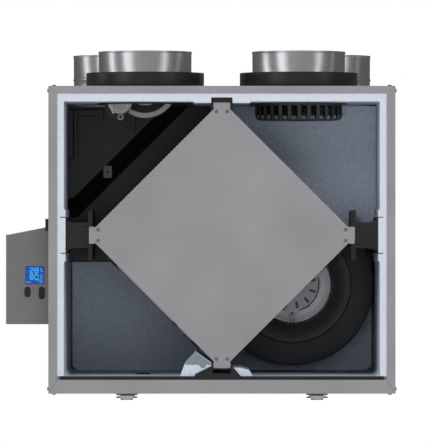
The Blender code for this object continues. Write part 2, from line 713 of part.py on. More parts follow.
def build_exhaust():
    port_x, port_y = PORTS[1]
    at_port = (port_x, port_y, 0.0)
    flange_high = CEILING - GAP
    flange_low = flange_high - GUARD_WALL
    inner = GUARD_R - GUARD_WALL
    guard = [
        (0.0790, flange_high),
        (0.0790, flange_low),
        (GUARD_R, flange_low),
        (GUARD_R, GUARD_BOTTOM + 0.008),
        (GUARD_R - 0.0024, GUARD_BOTTOM + 0.0024),
        (GUARD_R - 0.008, GUARD_BOTTOM),
        (0.0300, GUARD_BOTTOM),
        (0.0300, GUARD_BOTTOM + GUARD_WALL),
        (inner - 0.008, GUARD_BOTTOM + GUARD_WALL),
        (inner - 0.0024, GUARD_BOTTOM + GUARD_WALL + 0.0024),
        (inner, GUARD_BOTTOM + GUARD_WALL + 0.008),
        (inner, flange_high),
    ]
    basket = add_turned("exhaust_guard", guard, at_port, "z", BLACK_PLASTIC, steps=GUARD_WINDOWS)
    low, high = (0.0560, -0.0052, GUARD_BOTTOM - 0.002), (0.0760, 0.0052, flange_low - 0.003)
    half_window = math.pi / GUARD_WINDOWS
    cut(basket, add_spokes("guard_windows", at_port, "z", GUARD_WINDOWS, low, high, start=half_window))
    hub = [(0.0, 0.2470), (0.0240, 0.2470), (0.0260, 0.2300), (0.0200, 0.2240), (0.0, 0.2230)]
    impeller = add_turned("exhaust_impeller", hub, at_port, "z", GREY_PLASTIC, closed=False)
    low, high = (0.0200, -0.0140, 0.2345), (0.0660, 0.0140, 0.2365)
    blades = add_spokes("exhaust_blades", at_port, "z", EXHAUST_BLADES, low, high, pitch=math.radians(30))
    join(impeller, blades)
    can = [(0.0, 0.2850), (0.0290, 0.2850), (0.0300, 0.2840), (0.0300, 0.2510), (0.0, 0.2510)]
    add_turned("exhaust_motor", can, at_port, "z", ALUMINIUM, closed=False)
    spider = [(0.0745, 0.2895), (0.0745, 0.2860), (0.0715, 0.2860), (0.0715, 0.2895)]
    mount = add_turned("exhaust_motor_mount", spider, at_port, "z", GREY_STEEL)
    hub_plate = add_cylinder("spider_hub", (port_x, port_y, 0.28775), "z", 0.0280, 0.0025)
    arms = add_spokes("spider_arms", at_port, "z", 3, (0.0200, -0.0030, 0.2867), (0.0730, 0.0030, 0.2888))
    join(mount, hub_plate, arms)


# Control box on the left side

def build_control_box():
    step = 0.004
    outline = [
        (BOX_LEFT, BOX_BOTTOM),
        (BOX_RIGHT, BOX_BOTTOM),
        (BOX_RIGHT, BOX_TOP),
        (BOX_LEFT + step, BOX_SHOULDER),
        (BOX_LEFT, BOX_SHOULDER),
    ]
    wall = BOX_WALL
    hollow = [
        (BOX_LEFT + wall, BOX_BOTTOM + wall),
        (BOX_RIGHT + 0.01, BOX_BOTTOM + wall),
        (BOX_RIGHT + 0.01, BOX_TOP - wall),
        (BOX_RIGHT, BOX_TOP - wall),
        (BOX_LEFT + step, BOX_SHOULDER - wall),
        (BOX_LEFT + wall, BOX_SHOULDER - wall),
    ]
    housing = add_plate("control_box", [outline], BOX_FRONT, BOX_BACK, "front", GREY_PLASTIC)
    cut(housing, add_plate("box_hollow", [hollow], BOX_FRONT + wall, BOX_BACK - wall, "front"))
    front, back = BOX_FRONT - 0.01, BOX_FRONT + wall + 0.001
    cut(housing, window("screen_window", SCREEN_X, SCREEN_Z, SCREEN_HALF_W, SCREEN_HALF_H, front, back))
    low = (SCREEN_X - SCREEN_HALF_W + GAP, BOX_FRONT + 0.0010, SCREEN_Z - SCREEN_HALF_H + GAP)
    high = (SCREEN_X + SCREEN_HALF_W - GAP, BOX_FRONT + 0.0090, SCREEN_Z + SCREEN_HALF_H - GAP)
    add_box("display_panel", low, high, SCREEN_BLUE)
    for side, (middle_x, middle_z, half_w, half_h) in BUTTONS.items():
        clear = 2 * GAP
        hole = window("window_" + side, middle_x, middle_z, half_w + clear, half_h + clear, front, back)
        cut(housing, hole)
        build_button(side, middle_x, middle_z, half_w, half_h)
    low = (BOX_LEFT + 0.006, BOX_FRONT + 0.0130, BOX_BOTTOM + 0.015)
    add_box("control_board", low, (BOX_RIGHT - 0.003, BOX_FRONT + 0.0146, -0.012), BOARD_GREEN)
    low = (-0.2877, FRONT + 0.008, 0.0146)
    add_box("cord_clamp", low, (BOX_RIGHT, FRONT + 0.0245, 0.0341), BLACK_PLASTIC)


def window(name, middle_x, middle_z, half_w, half_h, front, back):
    """A cutter for a square opening in the control box's front wall."""
    low = (middle_x - half_w, front, middle_z - half_h)
    return add_box(name, low, (middle_x + half_w, back, middle_z + half_h))


def build_button(side, middle_x, middle_z, half_w, half_h):
    """A push cap through the front wall, with a lip behind the wall that keeps it in."""
    low = (middle_x - half_w, BOX_FRONT - 0.0020, middle_z - half_h)
    high = (middle_x + half_w, BOX_FRONT + 0.0045, middle_z + half_h)
    cap = add_box("button_" + side, low, high, BLACK_PLASTIC)
    lip = 0.0012
    low = (middle_x - half_w - lip, BOX_FRONT + BOX_WALL + GAP, middle_z - half_h - lip)
    high = (middle_x + half_w + lip, BOX_FRONT + 0.0045, middle_z + half_h + lip)
    join(cap, add_box("button_lip_" + side, low, high))


# Door latches under the casing

def build_latch(side, sign):
    """A toggle under the casing: a fixed plate, and a lever that swings down about its front end."""
    middle = sign * LATCH_X
    under = -HALF_H - GAP
    low, high = (middle - 0.0175, FRONT + 0.004, under - 0.0016), (middle + 0.0175, FRONT + 0.050, under)
    add_box("latch_base_" + side, low, high, GREY_STEEL)
    profile = [
        (FRONT + 0.006, -0.2535),
        (FRONT + 0.006, -0.2585),
        (FRONT + 0.012, -0.2610),
        (FRONT + 0.046, -0.2575),
        (FRONT + 0.046, -0.2535),
    ]
    lever = add_lever("latch_lever_" + side, profile, middle, 0.0115)
    hang_on("latch_hinge_" + side, (middle, LATCH_HINGE_Y, LATCH_HINGE_Z), lever)


def add_lever(name, profile, middle, half):
    """A bar of the given side profile in (y, z), centred on a place across the unit."""
    bm = bmesh.new()
    corners = [bm.verts.new((middle - half, along, up)) for along, up in profile]
    side = bm.faces.new(corners)
    grown = bmesh.ops.extrude_face_region(bm, geom=[side])
    moved = [item for item in grown["geom"] if isinstance(item, bmesh.types.BMVert)]
    bmesh.ops.translate(bm, vec=(2 * half, 0.0, 0.0), verts=moved)
    return mesh_object(name, bm, GREY_PLASTIC)


def build_drain():
    tube = [
        (0.0120, FLOOR + 0.0022),
        (0.0120, FLOOR + GAP),
        (0.0070, FLOOR + GAP),
        (0.0070, -HALF_H),
        (0.0050, -HALF_H),
        (0.0050, FLOOR + 0.0022),
    ]
    add_turned("drain_fitting", tube, (DRAIN_X, DRAIN_Y, 0.0), "z", BLACK_PLASTIC, steps=16)


def build_sensor():
    """The air temperature sensor clipped to the front of the left partition."""
    low, high = (-0.197, PARTITION_FRONT - 0.0060, 0.103), (-0.183, PARTITION_FRONT - GAP, 0.123)
    add_box("temperature_sensor", low, high, GREY_PLASTIC)


build_casing()
build_lining()
build_divisions()
build_rails()
build_core()
build_blower()
build_ports()
build_damper()
build_exhaust()
build_control_box()
build_latch("left", -1)
build_latch("right", 1)
build_drain()
build_sensor()
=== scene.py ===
"""Looks of the heat recovery unit: its door is off, and its core, fans and damper show.

Metres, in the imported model's frame: +Z up, +Y to the wall, the open front at the lowest Y.
"""
import math

import bmesh
import bpy
from mathutils import Matrix, Vector


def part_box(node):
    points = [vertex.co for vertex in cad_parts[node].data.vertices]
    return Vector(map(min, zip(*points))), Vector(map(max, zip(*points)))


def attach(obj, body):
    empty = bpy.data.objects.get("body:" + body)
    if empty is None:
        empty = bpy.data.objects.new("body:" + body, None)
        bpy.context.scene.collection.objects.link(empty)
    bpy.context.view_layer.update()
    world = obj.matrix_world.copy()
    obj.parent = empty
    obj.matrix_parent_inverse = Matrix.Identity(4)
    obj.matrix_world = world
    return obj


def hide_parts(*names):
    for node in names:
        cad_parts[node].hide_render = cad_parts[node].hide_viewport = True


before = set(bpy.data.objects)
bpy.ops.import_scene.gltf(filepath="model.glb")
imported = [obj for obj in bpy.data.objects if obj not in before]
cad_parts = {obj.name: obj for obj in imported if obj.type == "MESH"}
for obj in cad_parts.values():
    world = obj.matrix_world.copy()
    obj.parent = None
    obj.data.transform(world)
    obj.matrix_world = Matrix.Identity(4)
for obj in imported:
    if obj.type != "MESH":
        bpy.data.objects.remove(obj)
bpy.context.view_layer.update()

TAU = math.tau
UNIT = "unit"


def middle(node):
    low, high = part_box(node)
    return (low + high) / 2


# Sizes that the boxes of the frame's nodes don't give
SILL_FOOT_TO_FLOOR = 0.0228
PLATE_TIP = 0.219
ACTUATOR_RADIUS = 0.0205
ACTUATOR_UP = 0.2274

# Places read from the frame
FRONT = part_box("casing_left")[0].y
HALF_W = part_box("casing_right")[1].x
HALF_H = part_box("casing_left")[1].z
FOAM_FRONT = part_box("insulation_left")[0].y
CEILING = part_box("exhaust_guard")[1].z
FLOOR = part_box("front_sill")[0].z + SILL_FOOT_TO_FLOOR
SCROLL_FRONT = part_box("blower_scroll")[0].y
CORE = middle("core_front_plate")
PLATE_EDGE = PLATE_TIP / math.sqrt(2)
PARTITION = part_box("upper_left_partition")[0].y
BLOWER = Vector((middle("supply_motor").x, SCROLL_FRONT, middle("supply_motor").z))
PORTS = {
    side: middle("collar_" + side) for side in ("front_left", "front_right", "rear_left", "rear_right")
}
COLLAR_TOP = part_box("collar_front_left")[1].z
FLAP = middle("damper_flap")
ACTUATOR = Vector((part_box("damper_motor")[0].x + ACTUATOR_RADIUS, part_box("damper_motor")[0].y, ACTUATOR_UP))


# Node materials

def shader_of(name, roughness, metallic):
    material = bpy.data.materials.new(name)
    material.use_nodes = True
    shader = material.node_tree.nodes["Principled BSDF"]
    shader.inputs["Roughness"].default_value = roughness
    shader.inputs["Metallic"].default_value = metallic
    return material, shader


def add_node(owner, kind, **settings):
    """Add a node to a material or a world, and set its inputs and properties by name."""
    node = owner.node_tree.nodes.new(kind)
    for key, value in settings.items():
        if key in node.inputs:
            node.inputs[key].default_value = value
        else:
            setattr(node, key, value)
    return node


def connect(owner, out_socket, in_socket):
    owner.node_tree.links.new(out_socket, in_socket)


def coordinates(material, stretch=(1.0, 1.0, 1.0)):
    """Object coordinates, which are metres in the unit's frame, stretched along each axis."""
    place = add_node(material, "ShaderNodeTexCoord")
    mapping = add_node(material, "ShaderNodeMapping")
    mapping.inputs["Scale"].default_value = stretch
    connect(material, place.outputs["Object"], mapping.inputs["Vector"])
    return mapping.outputs["Vector"]


def noise(material, vector, scale, detail=3.0):
    node = add_node(material, "ShaderNodeTexNoise", Scale=scale, Detail=detail)
    connect(material, vector, node.inputs["Vector"])
    return node.outputs["Fac"]


def tint(material, shader, factor, dark, light):
    """Colour between dark and light, as the factor goes from 0.3 to 0.7."""
    ramp = add_node(material, "ShaderNodeValToRGB")
    ramp.color_ramp.elements[0].position = 0.3
    ramp.color_ramp.elements[0].color = (*dark, 1.0)
    ramp.color_ramp.elements[1].position = 0.7
    ramp.color_ramp.elements[1].color = (*light, 1.0)
    connect(material, factor, ramp.inputs["Fac"])
    connect(material, ramp.outputs["Color"], shader.inputs["Base Color"])


def roughen(material, shader, factor, low, high):
    reach = add_node(material, "ShaderNodeMapRange", **{"To Min": low, "To Max": high})
    connect(material, factor, reach.inputs["Value"])
    connect(material, reach.outputs["Result"], shader.inputs["Roughness"])


def emboss(material, shader, height, strength, distance):
    bump = add_node(material, "ShaderNodeBump", Strength=strength, Distance=distance)
    connect(material, height, bump.inputs["Height"])
    connect(material, bump.outputs["Normal"], shader.inputs["Normal"])


def shade(colour, factor):
    return tuple(min(1.0, channel * factor) for channel in colour)


def mottle(material, shader, factor, colour, dark, light):
    """One colour, shaded darker and lighter as the factor goes up."""
    tint(material, shader, factor, shade(colour, dark), shade(colour, light))


def cell_tone(material, vector, scale):
    """One flat grey for each cell."""
    cells = add_node(material, "ShaderNodeTexVoronoi", Scale=scale)
    connect(material, vector, cells.inputs["Vector"])
    grey = add_node(material, "ShaderNodeRGBToBW")
    connect(material, cells.outputs["Color"], grey.inputs["Color"])
    return grey.outputs["Val"]


def painted(name, colour, roughness=0.5, metallic=0.0, contrast=0.08, peel=0.12):
    """Powder-coated sheet: a fine orange peel, and broad faint clouds in colour and gloss."""
    material, shader = shader_of(name, roughness, metallic)
    vector = coordinates(material)
    mottle(material, shader, noise(material, vector, 9.0), colour, 1 - contrast, 1 + contrast)
    roughen(material, shader, noise(material, vector, 40.0), roughness - 0.08, roughness + 0.08)
    emboss(material, shader, noise(material, vector, 1400.0, 2.0), peel, 0.0002)
    return material


def moulded(name, colour, roughness=0.5, grain=1800.0, strength=0.2, contrast=0.12, gloss=0.5):
    """Moulded plastic with a fine spark-eroded grain."""
    material, shader = shader_of(name, roughness, 0.0)
    shader.inputs["Specular IOR Level"].default_value = gloss
    vector = coordinates(material)
    mottle(material, shader, noise(material, vector, 14.0), colour, 1 - contrast, 1 + contrast)
    roughen(material, shader, noise(material, vector, 60.0), roughness - 0.07, roughness + 0.1)
    emboss(material, shader, noise(material, vector, grain, 2.0), strength, 0.0002)
    return material


def bead_foam(name, colour, bead=260.0, strength=0.35):
    """Expanded polystyrene: pressed beads, each a slightly different tone, with sunk borders."""
    material, shader = shader_of(name, 0.85, 0.0)
    vector = coordinates(material)
    mottle(material, shader, cell_tone(material, vector, bead), colour, 0.93, 1.05)
    border = add_node(material, "ShaderNodeTexVoronoi", feature="DISTANCE_TO_EDGE", Scale=bead)
    connect(material, vector, border.inputs["Vector"])
    emboss(material, shader, border.outputs["Distance"], strength, 0.0006)
    return material


def galvanised(name):
    """Zinc-coated sheet: faint vertical rolling streaks over a soft crystal spangle."""
    material, shader = shader_of(name, 0.2, 1.0)
    streaks = noise(material, coordinates(material, (1.0, 1.0, 0.04)), 260.0, 4.0)
    tint(material, shader, streaks, (0.78, 0.79, 0.8), (0.86, 0.87, 0.88))
    roughen(material, shader, cell_tone(material, coordinates(material), 120.0), 0.17, 0.23)
    emboss(material, shader, streaks, 0.015, 0.0001)
    return material


def filter_mat(name, colour):
    """Woven fibre: two crossed waves for the weave, broken up by noise."""
    material, shader = shader_of(name, 0.95, 0.0)
    vector = coordinates(material)
    both = add_node(material, "ShaderNodeMath", operation="MULTIPLY")
    for index, direction in enumerate(("Y", "DIAGONAL")):
        wave = add_node(material, "ShaderNodeTexWave", Scale=160.0, Distortion=1.5)
        wave.bands_direction = direction
        connect(material, vector, wave.inputs["Vector"])
        connect(material, wave.outputs["Fac"], both.inputs[index])
    mottle(material, shader, both.outputs["Value"], colour, 0.6, 1.5)
    emboss(material, shader, both.outputs["Value"], 0.6, 0.0008)
    return material


def lit_screen(name, colour, glow, strength):
    """A backlit display: a dot grid over an even glow."""
    material, shader = shader_of(name, 0.18, 0.0)
    cells = add_node(material, "ShaderNodeTexVoronoi", Scale=1500.0, Randomness=0.0)
    connect(material, coordinates(material), cells.inputs["Vector"])
    mottle(material, shader, cells.outputs["Distance"], colour, 0.85, 1.1)
    shader.inputs["Emission Color"].default_value = (*glow, 1.0)
    shader.inputs["Emission Strength"].default_value = strength
    return material


def circuit(name):
    """A circuit board: lacquered green with fine copper tracks."""
    material, shader = shader_of(name, 0.4, 0.0)
    tracks = add_node(material, "ShaderNodeTexBrick", Scale=160.0, Mortar=(0.1, 0.22, 0.06, 1.0))
    tracks.inputs["Color1"].default_value = (0.01, 0.1, 0.03, 1.0)
    tracks.inputs["Color2"].default_value = (0.015, 0.16, 0.05, 1.0)
    connect(material, coordinates(material), tracks.inputs["Vector"])
    connect(material, tracks.outputs["Color"], shader.inputs["Base Color"])
    emboss(material, shader, tracks.outputs["Fac"], 0.2, 0.0002)
    return material


CASING_PAINT = painted("casing_paint", (0.275, 0.275, 0.283), 0.48)
CORE_PAINT = painted("core_paint", (0.275, 0.275, 0.283), 0.6)
BRIGHT_ZINC = galvanised("bright_zinc")
FOAM_WALL = bead_foam("foam_wall", (0.57, 0.64, 0.74), strength=0.12)
FOAM_EDGE = bead_foam("foam_edge", (0.63, 0.675, 0.75), 700.0, 0.04)
# Dark foam that paints shade: it lies over the wedge's sloped upper face, which is shaded, not darker in colour
FOAM_PAINTED_SHADE = bead_foam("foam_painted_shade", (0.21, 0.24, 0.275), 700.0, 0.04)
BLACK = moulded("black_moulding", (0.012, 0.012, 0.0125))
# Near-black moulding with little gloss, also used for the ribs, the guard screen and the box vents. On the
# partition's trough its near-black is painted shade, the deep shade of the gap there
BLACK_AND_PAINTED_SHADE = moulded("black_and_painted_shade", (0.003, 0.0036, 0.003), 0.85, gloss=0.15)
SATIN_BLACK = moulded("satin_black", (0.034, 0.034, 0.0345), 0.42)
BELL_BLACK = moulded("bell_black", (0.058, 0.058, 0.058), 0.38)
RUBBER = moulded("ring_rubber", (0.017, 0.017, 0.0172), 0.28)
GREY = moulded("grey_moulding", (0.155, 0.155, 0.155), 0.5, contrast=0.05)
PALE_GREY = painted("motor_grey", (0.6, 0.6, 0.605), 0.42, 0.2)
WHEEL_GREY = moulded("wheel_grey", (0.88, 0.88, 0.89), 0.4, contrast=0.05)
FIBRE = filter_mat("filter_fibre", (0.035, 0.035, 0.038))
FILM = moulded("core_film", (0.42, 0.45, 0.5), 0.45, 900.0, 0.1)
SCREEN = lit_screen("screen_blue", (0.004, 0.045, 0.2), (0.004, 0.07, 0.36), 0.6)
DIGIT = lit_screen("digit_blue", (0.04, 0.2, 0.4), (0.05, 0.35, 0.75), 0.75)
BOARD = circuit("circuit_board")
STEEL = painted("screw_steel", (0.45, 0.45, 0.46), 0.3, 1.0)
RING_GREY = moulded("ring_grey", (0.4, 0.4, 0.4), 0.45)
LATCH_GREY = moulded("latch_grey", (0.4, 0.4, 0.41), 0.45)
LATCH_STEEL = painted("latch_steel", (0.075, 0.075, 0.078), 0.4)


# Shape helpers: a piece is built in a bmesh, then finished as an object that rides on a body

def at(place, turn=None):
    return Matrix.Translation(place) @ (turn or Matrix.Identity(4))


def move(across, along, up):
    return Matrix.Translation((across, along, up))


def spin(degrees, axis="Z"):
    return Matrix.Rotation(math.radians(degrees), 4, axis)


def polar(radius, degrees):
    return radius * math.cos(math.radians(degrees)), radius * math.sin(math.radians(degrees))


FACING_FRONT = spin(90, "X")
FACING_RIGHT = spin(90, "Y")


def finish_piece(name, bm, material, body=UNIT, edge=0.0, sharp=32.0):
    """Make the object, smooth its round faces, round its edges, and hang it on its body."""
    bmesh.ops.recalc_face_normals(bm, faces=bm.faces)
    mesh = bpy.data.meshes.new(name)
    bm.to_mesh(mesh)
    bm.free()
    mesh.shade_smooth()
    mesh.set_sharp_from_angle(angle=math.radians(sharp))
    mesh.materials.append(material)
    piece = bpy.data.objects.new(name, mesh)
    bpy.context.scene.collection.objects.link(piece)
    if edge:
        round_edges(piece, edge)
    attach(piece, body)
    return piece


def round_edges(piece, width, segments=3):
    bevel = piece.modifiers.new("round_edges", "BEVEL")
    bevel.width = width
    bevel.segments = segments
    bevel.limit_method = "ANGLE"
    bevel.angle_limit = math.radians(35)
    bevel.harden_normals = True


def block(bm, size, place):
    """A block of the given size, centred on a place matrix."""
    bmesh.ops.create_cube(bm, size=1.0, matrix=place @ Matrix.Diagonal((*size, 1.0)))


def lathe(bm, profile, place, steps=96, ring=True):
    """Turn (radius, height) points round the place's own Z.

    A ring's profile is closed. Any other profile starts and ends on the axis.
    """
    rows = []
    for radius, height in profile:
        if radius < 1e-7:
            rows.append([bm.verts.new(place @ Vector((0.0, 0.0, height)))] * steps)
            continue
        spots = [polar(radius, index * 360 / steps) for index in range(steps)]
        rows.append([bm.verts.new(place @ Vector((*spot, height))) for spot in spots])
    for row, next_row in zip(rows, rows[1:] + rows[:1] if ring else rows[1:]):
        for index in range(steps):
            after = (index + 1) % steps
            corners = list(dict.fromkeys([row[index], row[after], next_row[after], next_row[index]]))
            if len(corners) > 2:
                bm.faces.new(corners)


def close_sides(bm, first, second):
    """The side faces between two matching rings of points."""
    for index in range(len(first)):
        after = (index + 1) % len(first)
        bm.faces.new([first[after], first[index], second[index], second[after]])


def prism(bm, outline, low, high, place=None):
    """A flat outline in (x, z), extruded along Y from low to high."""
    place = place or Matrix.Identity(4)
    front = [bm.verts.new(place @ Vector((across, low, up))) for across, up in outline]
    back = [bm.verts.new(place @ Vector((across, high, up))) for across, up in outline]
    bm.faces.new(front)
    bm.faces.new(list(reversed(back)))
    close_sides(bm, front, back)


def extrude_outline(bm, outline, low, high, place):
    """A flat outline in the place's own (x, y), extruded along its Z from low to high."""
    bottom = [bm.verts.new(place @ Vector((across, along, low))) for across, along in outline]
    top = [bm.verts.new(place @ Vector((across, along, high))) for across, along in outline]
    bm.faces.new(bottom)
    bm.faces.new(list(reversed(top)))
    close_sides(bm, bottom, top)


def arc(across, up, radius, start, end, count=8):
    """Points along an arc, from one angle to another in degrees."""
    spots = [polar(radius, start + (end - start) * index / count) for index in range(count + 1)]
    return [(across + along, up + rise) for along, rise in spots]


def pill(length, width, count=6):
    """A slot outline along its own X, with round ends."""
    reach = (length - width) / 2
    return arc(reach, 0.0, width / 2, -90, 90, count) + arc(-reach, 0.0, width / 2, 90, 270, count)


def plate_with_holes(name, outline, holes, low, high, material, body, edge=0.0):
    """A plate facing the front, between two depths, with holes in it, all outlines in (x, z)."""
    curve = bpy.data.curves.new(name, "CURVE")
    curve.dimensions = "2D"
    curve.fill_mode = "BOTH"
    curve.extrude = (high - low) / 2
    for loop in [outline] + holes:
        spline = curve.splines.new("POLY")
        spline.points.add(len(loop) - 1)
        spline.use_cyclic_u = True
        for point, (across, up) in zip(spline.points, loop):
            point.co = (across, up, 0.0, 1.0)
    guide = bpy.data.objects.new(name + "_guide", curve)
    bpy.context.scene.collection.objects.link(guide)
    bpy.context.view_layer.update()
    evaluated = guide.evaluated_get(bpy.context.evaluated_depsgraph_get())
    bm = bmesh.new()
    bm.from_mesh(bpy.data.meshes.new_from_object(evaluated))
    bmesh.ops.remove_doubles(bm, verts=bm.verts, dist=0.00001)
    bmesh.ops.transform(bm, matrix=at((0.0, (low + high) / 2, 0.0), FACING_FRONT), verts=bm.verts)
    bpy.data.objects.remove(guide, do_unlink=True)
    return finish_piece(name, bm, material, body, edge)


def carve(piece, cutter):
    """Cut the cutter's shape out of a piece, for good."""
    bmesh.ops.recalc_face_normals(cutter, faces=cutter.faces)
    mesh = bpy.data.meshes.new("cutter")
    cutter.to_mesh(mesh)
    cutter.free()
    tool = bpy.data.objects.new("cutter", mesh)
    bpy.context.scene.collection.objects.link(tool)
    cut = piece.modifiers.new("cut", "BOOLEAN")
    cut.object = tool
    cut.solver = "EXACT"
    bpy.context.view_layer.update()
    evaluated = piece.evaluated_get(bpy.context.evaluated_depsgraph_get())
    piece.data = bpy.data.meshes.new_from_object(evaluated)
    piece.modifiers.clear()
    bpy.data.objects.remove(tool, do_unlink=True)


def hex_screw(bm, place, radius=0.003, height=0.002):
    """A hexagon head on a pressed washer, pointing along the place's own Z."""
    rim, low = radius * 1.35, 0.0004
    washer = [(0.0, 0.0005), (radius * 1.25, 0.0005), (rim, 0.0003), (rim, 0.0), (0.0, 0.0)]
    lathe(bm, washer, place, 24, ring=False)
    crown = [(0.0, height), (radius * 0.86, height), (radius, height - low), (radius, low), (0.0, low)]
    lathe(bm, crown, place, 6, ring=False)


def pan_screw(bm, place, radius=0.003, height=0.0015):
    """A low domed head."""
    dome = [
        (radius * math.sin(math.radians(turn)), height * math.cos(math.radians(turn)) ** 0.6)
        for turn in (20, 40, 55, 70, 80)
    ]
    lathe(bm, [(0.0, height)] + dome + [(radius, 0.0), (0.0, 0.0)], place, 24, ring=False)


def smooth_by_angle_group():
    """A node group that shades a faceted solid smooth, with its real edges left sharp."""
    tree = bpy.data.node_groups.new("smooth_by_angle", "GeometryNodeTree")
    tree.interface.new_socket("Geometry", in_out="INPUT", socket_type="NodeSocketGeometry")
    tree.interface.new_socket("Geometry", in_out="OUTPUT", socket_type="NodeSocketGeometry")
    group_in = tree.nodes.new("NodeGroupInput")
    group_out = tree.nodes.new("NodeGroupOutput")
    weld = tree.nodes.new("GeometryNodeMergeByDistance")
    weld.inputs["Distance"].default_value = 0.00001
    angle = tree.nodes.new("GeometryNodeInputMeshEdgeAngle")
    compare = tree.nodes.new("FunctionNodeCompare")
    compare.operation = "LESS_THAN"
    compare.inputs[1].default_value = math.radians(30)
    faces = tree.nodes.new("GeometryNodeSetShadeSmooth")
    edges = tree.nodes.new("GeometryNodeSetShadeSmooth")
    edges.domain = "EDGE"
    tree.links.new(group_in.outputs[0], weld.inputs["Geometry"])
    tree.links.new(weld.outputs["Geometry"], faces.inputs["Geometry"])
    tree.links.new(faces.outputs["Geometry"], edges.inputs["Geometry"])
    tree.links.new(angle.outputs["Unsigned Angle"], compare.inputs[0])
    tree.links.new(compare.outputs["Result"], edges.inputs["Shade Smooth"])
    tree.links.new(edges.outputs["Geometry"], group_out.inputs[0])
    return tree


SMOOTH_BY_ANGLE = smooth_by_angle_group()


def dress(node, material, round_surface=False, edge=0.0):
    """Give a CAD node its material, and round shading or softened edges where it needs them."""
    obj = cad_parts[node]
    obj.data.materials.clear()
    obj.data.materials.append(material)
    if round_surface:
        smooth = obj.modifiers.new("smooth", "NODES")
        smooth.node_group = SMOOTH_BY_ANGLE
    if edge:
        round_edges(obj, edge)


# CAD nodes that stay, with their finishes

def dress_frame():
    """Finish each node that shows: its material, round shading or not, its softened edge, and its name."""
    finishes = (
        (CASING_PAINT, False, 0.0004, "casing_back casing_left casing_right casing_top casing_bottom"),
        (FOAM_WALL, False, 0.0, "insulation_left insulation_right insulation_top insulation_floor"),
        (FOAM_WALL, False, 0.0, "insulation_back upper_right_wall riser_shelf"),
        # Where the partition shows between the cover's panel and band, its near-black is painted shade
        (BLACK_AND_PAINTED_SHADE, False, 0.0, "upper_left_partition"),
        (SATIN_BLACK, False, 0.0004, "rear_divider"),
        (BLACK, False, 0.0004, "core_guide_left core_guide_right core_guide_top front_sill"),
        (BLACK, True, 0.0, "drain_fitting blower_scroll port_liner damper_seat damper_crank"),
        (CORE_PAINT, False, 0.0005, "core_front_plate core_rear_plate"),
        (CORE_PAINT, False, 0.0006, "core_post_top core_post_bottom core_post_left core_post_right"),
        (GREY, True, 0.0, "supply_motor"),
        (PALE_GREY, True, 0.0, "exhaust_motor"),
        (CASING_PAINT, True, 0.0, "exhaust_motor_mount"),
        (GREY, False, 0.0007, "control_box"),
        (BOARD, False, 0.0, "control_board"),
        (BLACK, False, 0.0006, "cord_clamp"),
        (SCREEN, False, 0.0004, "display_panel"),
        (LATCH_STEEL, False, 0.0003, "latch_base_left latch_base_right"),
        (GREY, False, 0.0008, "temperature_sensor"),
    )
    for material, round_surface, edge, names in finishes:
        for name in names.split():
            dress(name, material, round_surface, edge)


# Casing: screws, seal and guide tabs

def build_casing_details():
    """Hexagon screws down the sides and under and over the corners, and flat rivets on the back."""
    bm = bmesh.new()
    near, half_way, far = 0.01, 0.215, 0.42
    for side in (-1, 1):
        for up in (-0.243, 0.243):
            for depth in (near, half_way, far):
                hex_screw(bm, at((side * HALF_W, FRONT + depth, up), spin(side * 90, "Y")))
    for side in (-1, 1):
        for depth in (near, far):
            across = side * (HALF_W - 0.009)
            hex_screw(bm, at((across, FRONT + depth, -HALF_H), spin(180, "X")))
            hex_screw(bm, at((across, FRONT + depth, HALF_H)))
    for across in (-0.26, -0.13, 0.0, 0.13, 0.26):
        for up in (-0.238, 0.238):
            pan_screw(bm, at((across, -0.0002, up), spin(-90, "X")), 0.0036, 0.0006)
    finish_piece("casing_screws", bm, STEEL, UNIT)


def build_door_seal():
    """The pale foam edge that the door closes against, notched round the top guide."""
    outer_x, outer_z = HALF_W - 0.0025, HALF_H - 0.0025
    bottom = FLOOR - 0.0003
    right = [
        (0.0172, 0.2316), (0.0172, 0.2226), (0.0447, 0.2226), (0.047, 0.2249), (0.257, 0.2249),
        (0.257, 0.0504), (0.2545, 0.0479), (0.2545, -0.034), (0.257, -0.0365), (0.257, bottom),
        (outer_x, bottom), (outer_x, outer_z),
    ]
    left = [(-across, up) for across, up in reversed(right)]
    bm = bmesh.new()
    prism(bm, right + left, FRONT + 0.0015, FOAM_FRONT - 0.0003)
    finish_piece("door_seal", bm, FOAM_EDGE, UNIT, edge=0.0012)


def build_guide_details():
    """Thin tabs that pin the side guides into the foam, a seam across each neck, and the pad in its slot."""
    bm = bmesh.new()
    seal_front = FRONT + 0.0039
    for side in (-1, 1):
        for up in (-0.0293, 0.0293):
            block(bm, (0.0085, 0.006, 0.0014), at((side * 0.2585, seal_front, CORE.z + up)))
        block(bm, (0.008, 0.006, 0.0014), at((side * 0.261, seal_front, FLOOR - 0.003)))
        block(bm, (0.024, 0.0006, 0.001), at((side * 0.239, FOAM_FRONT - 0.0002, CORE.z)))
        block(bm, (0.008, 0.006, 0.0288), at((side * 0.2221, FOAM_FRONT + 0.004, CORE.z)))
    finish_piece("guide_tabs", bm, BLACK, edge=0.0003)


# Core: screws on its tips, its layers, and its filters

def build_core_details():
    """Two screws on each tip of the front plate, then the strips, the layers and the filters."""
    bm = bmesh.new()
    plate_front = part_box("core_front_plate")[0].y
    centre = Vector((0.0, plate_front, CORE.z))
    for quarter in range(4):
        for side in (-1, 1):
            spot = spin(quarter * 90, "Y") @ Vector((side * 0.0088, 0.0, 0.2015))
            hex_screw(bm, at(centre + spot, FACING_FRONT), 0.0022, 0.0012)
    finish_piece("core_screws", bm, STEEL, "core")
    build_edge_strips(plate_front)
    build_core_layers()
    build_filter("filter_upper", "upper_filter", 135)
    build_filter("filter_lower", "core", -135)


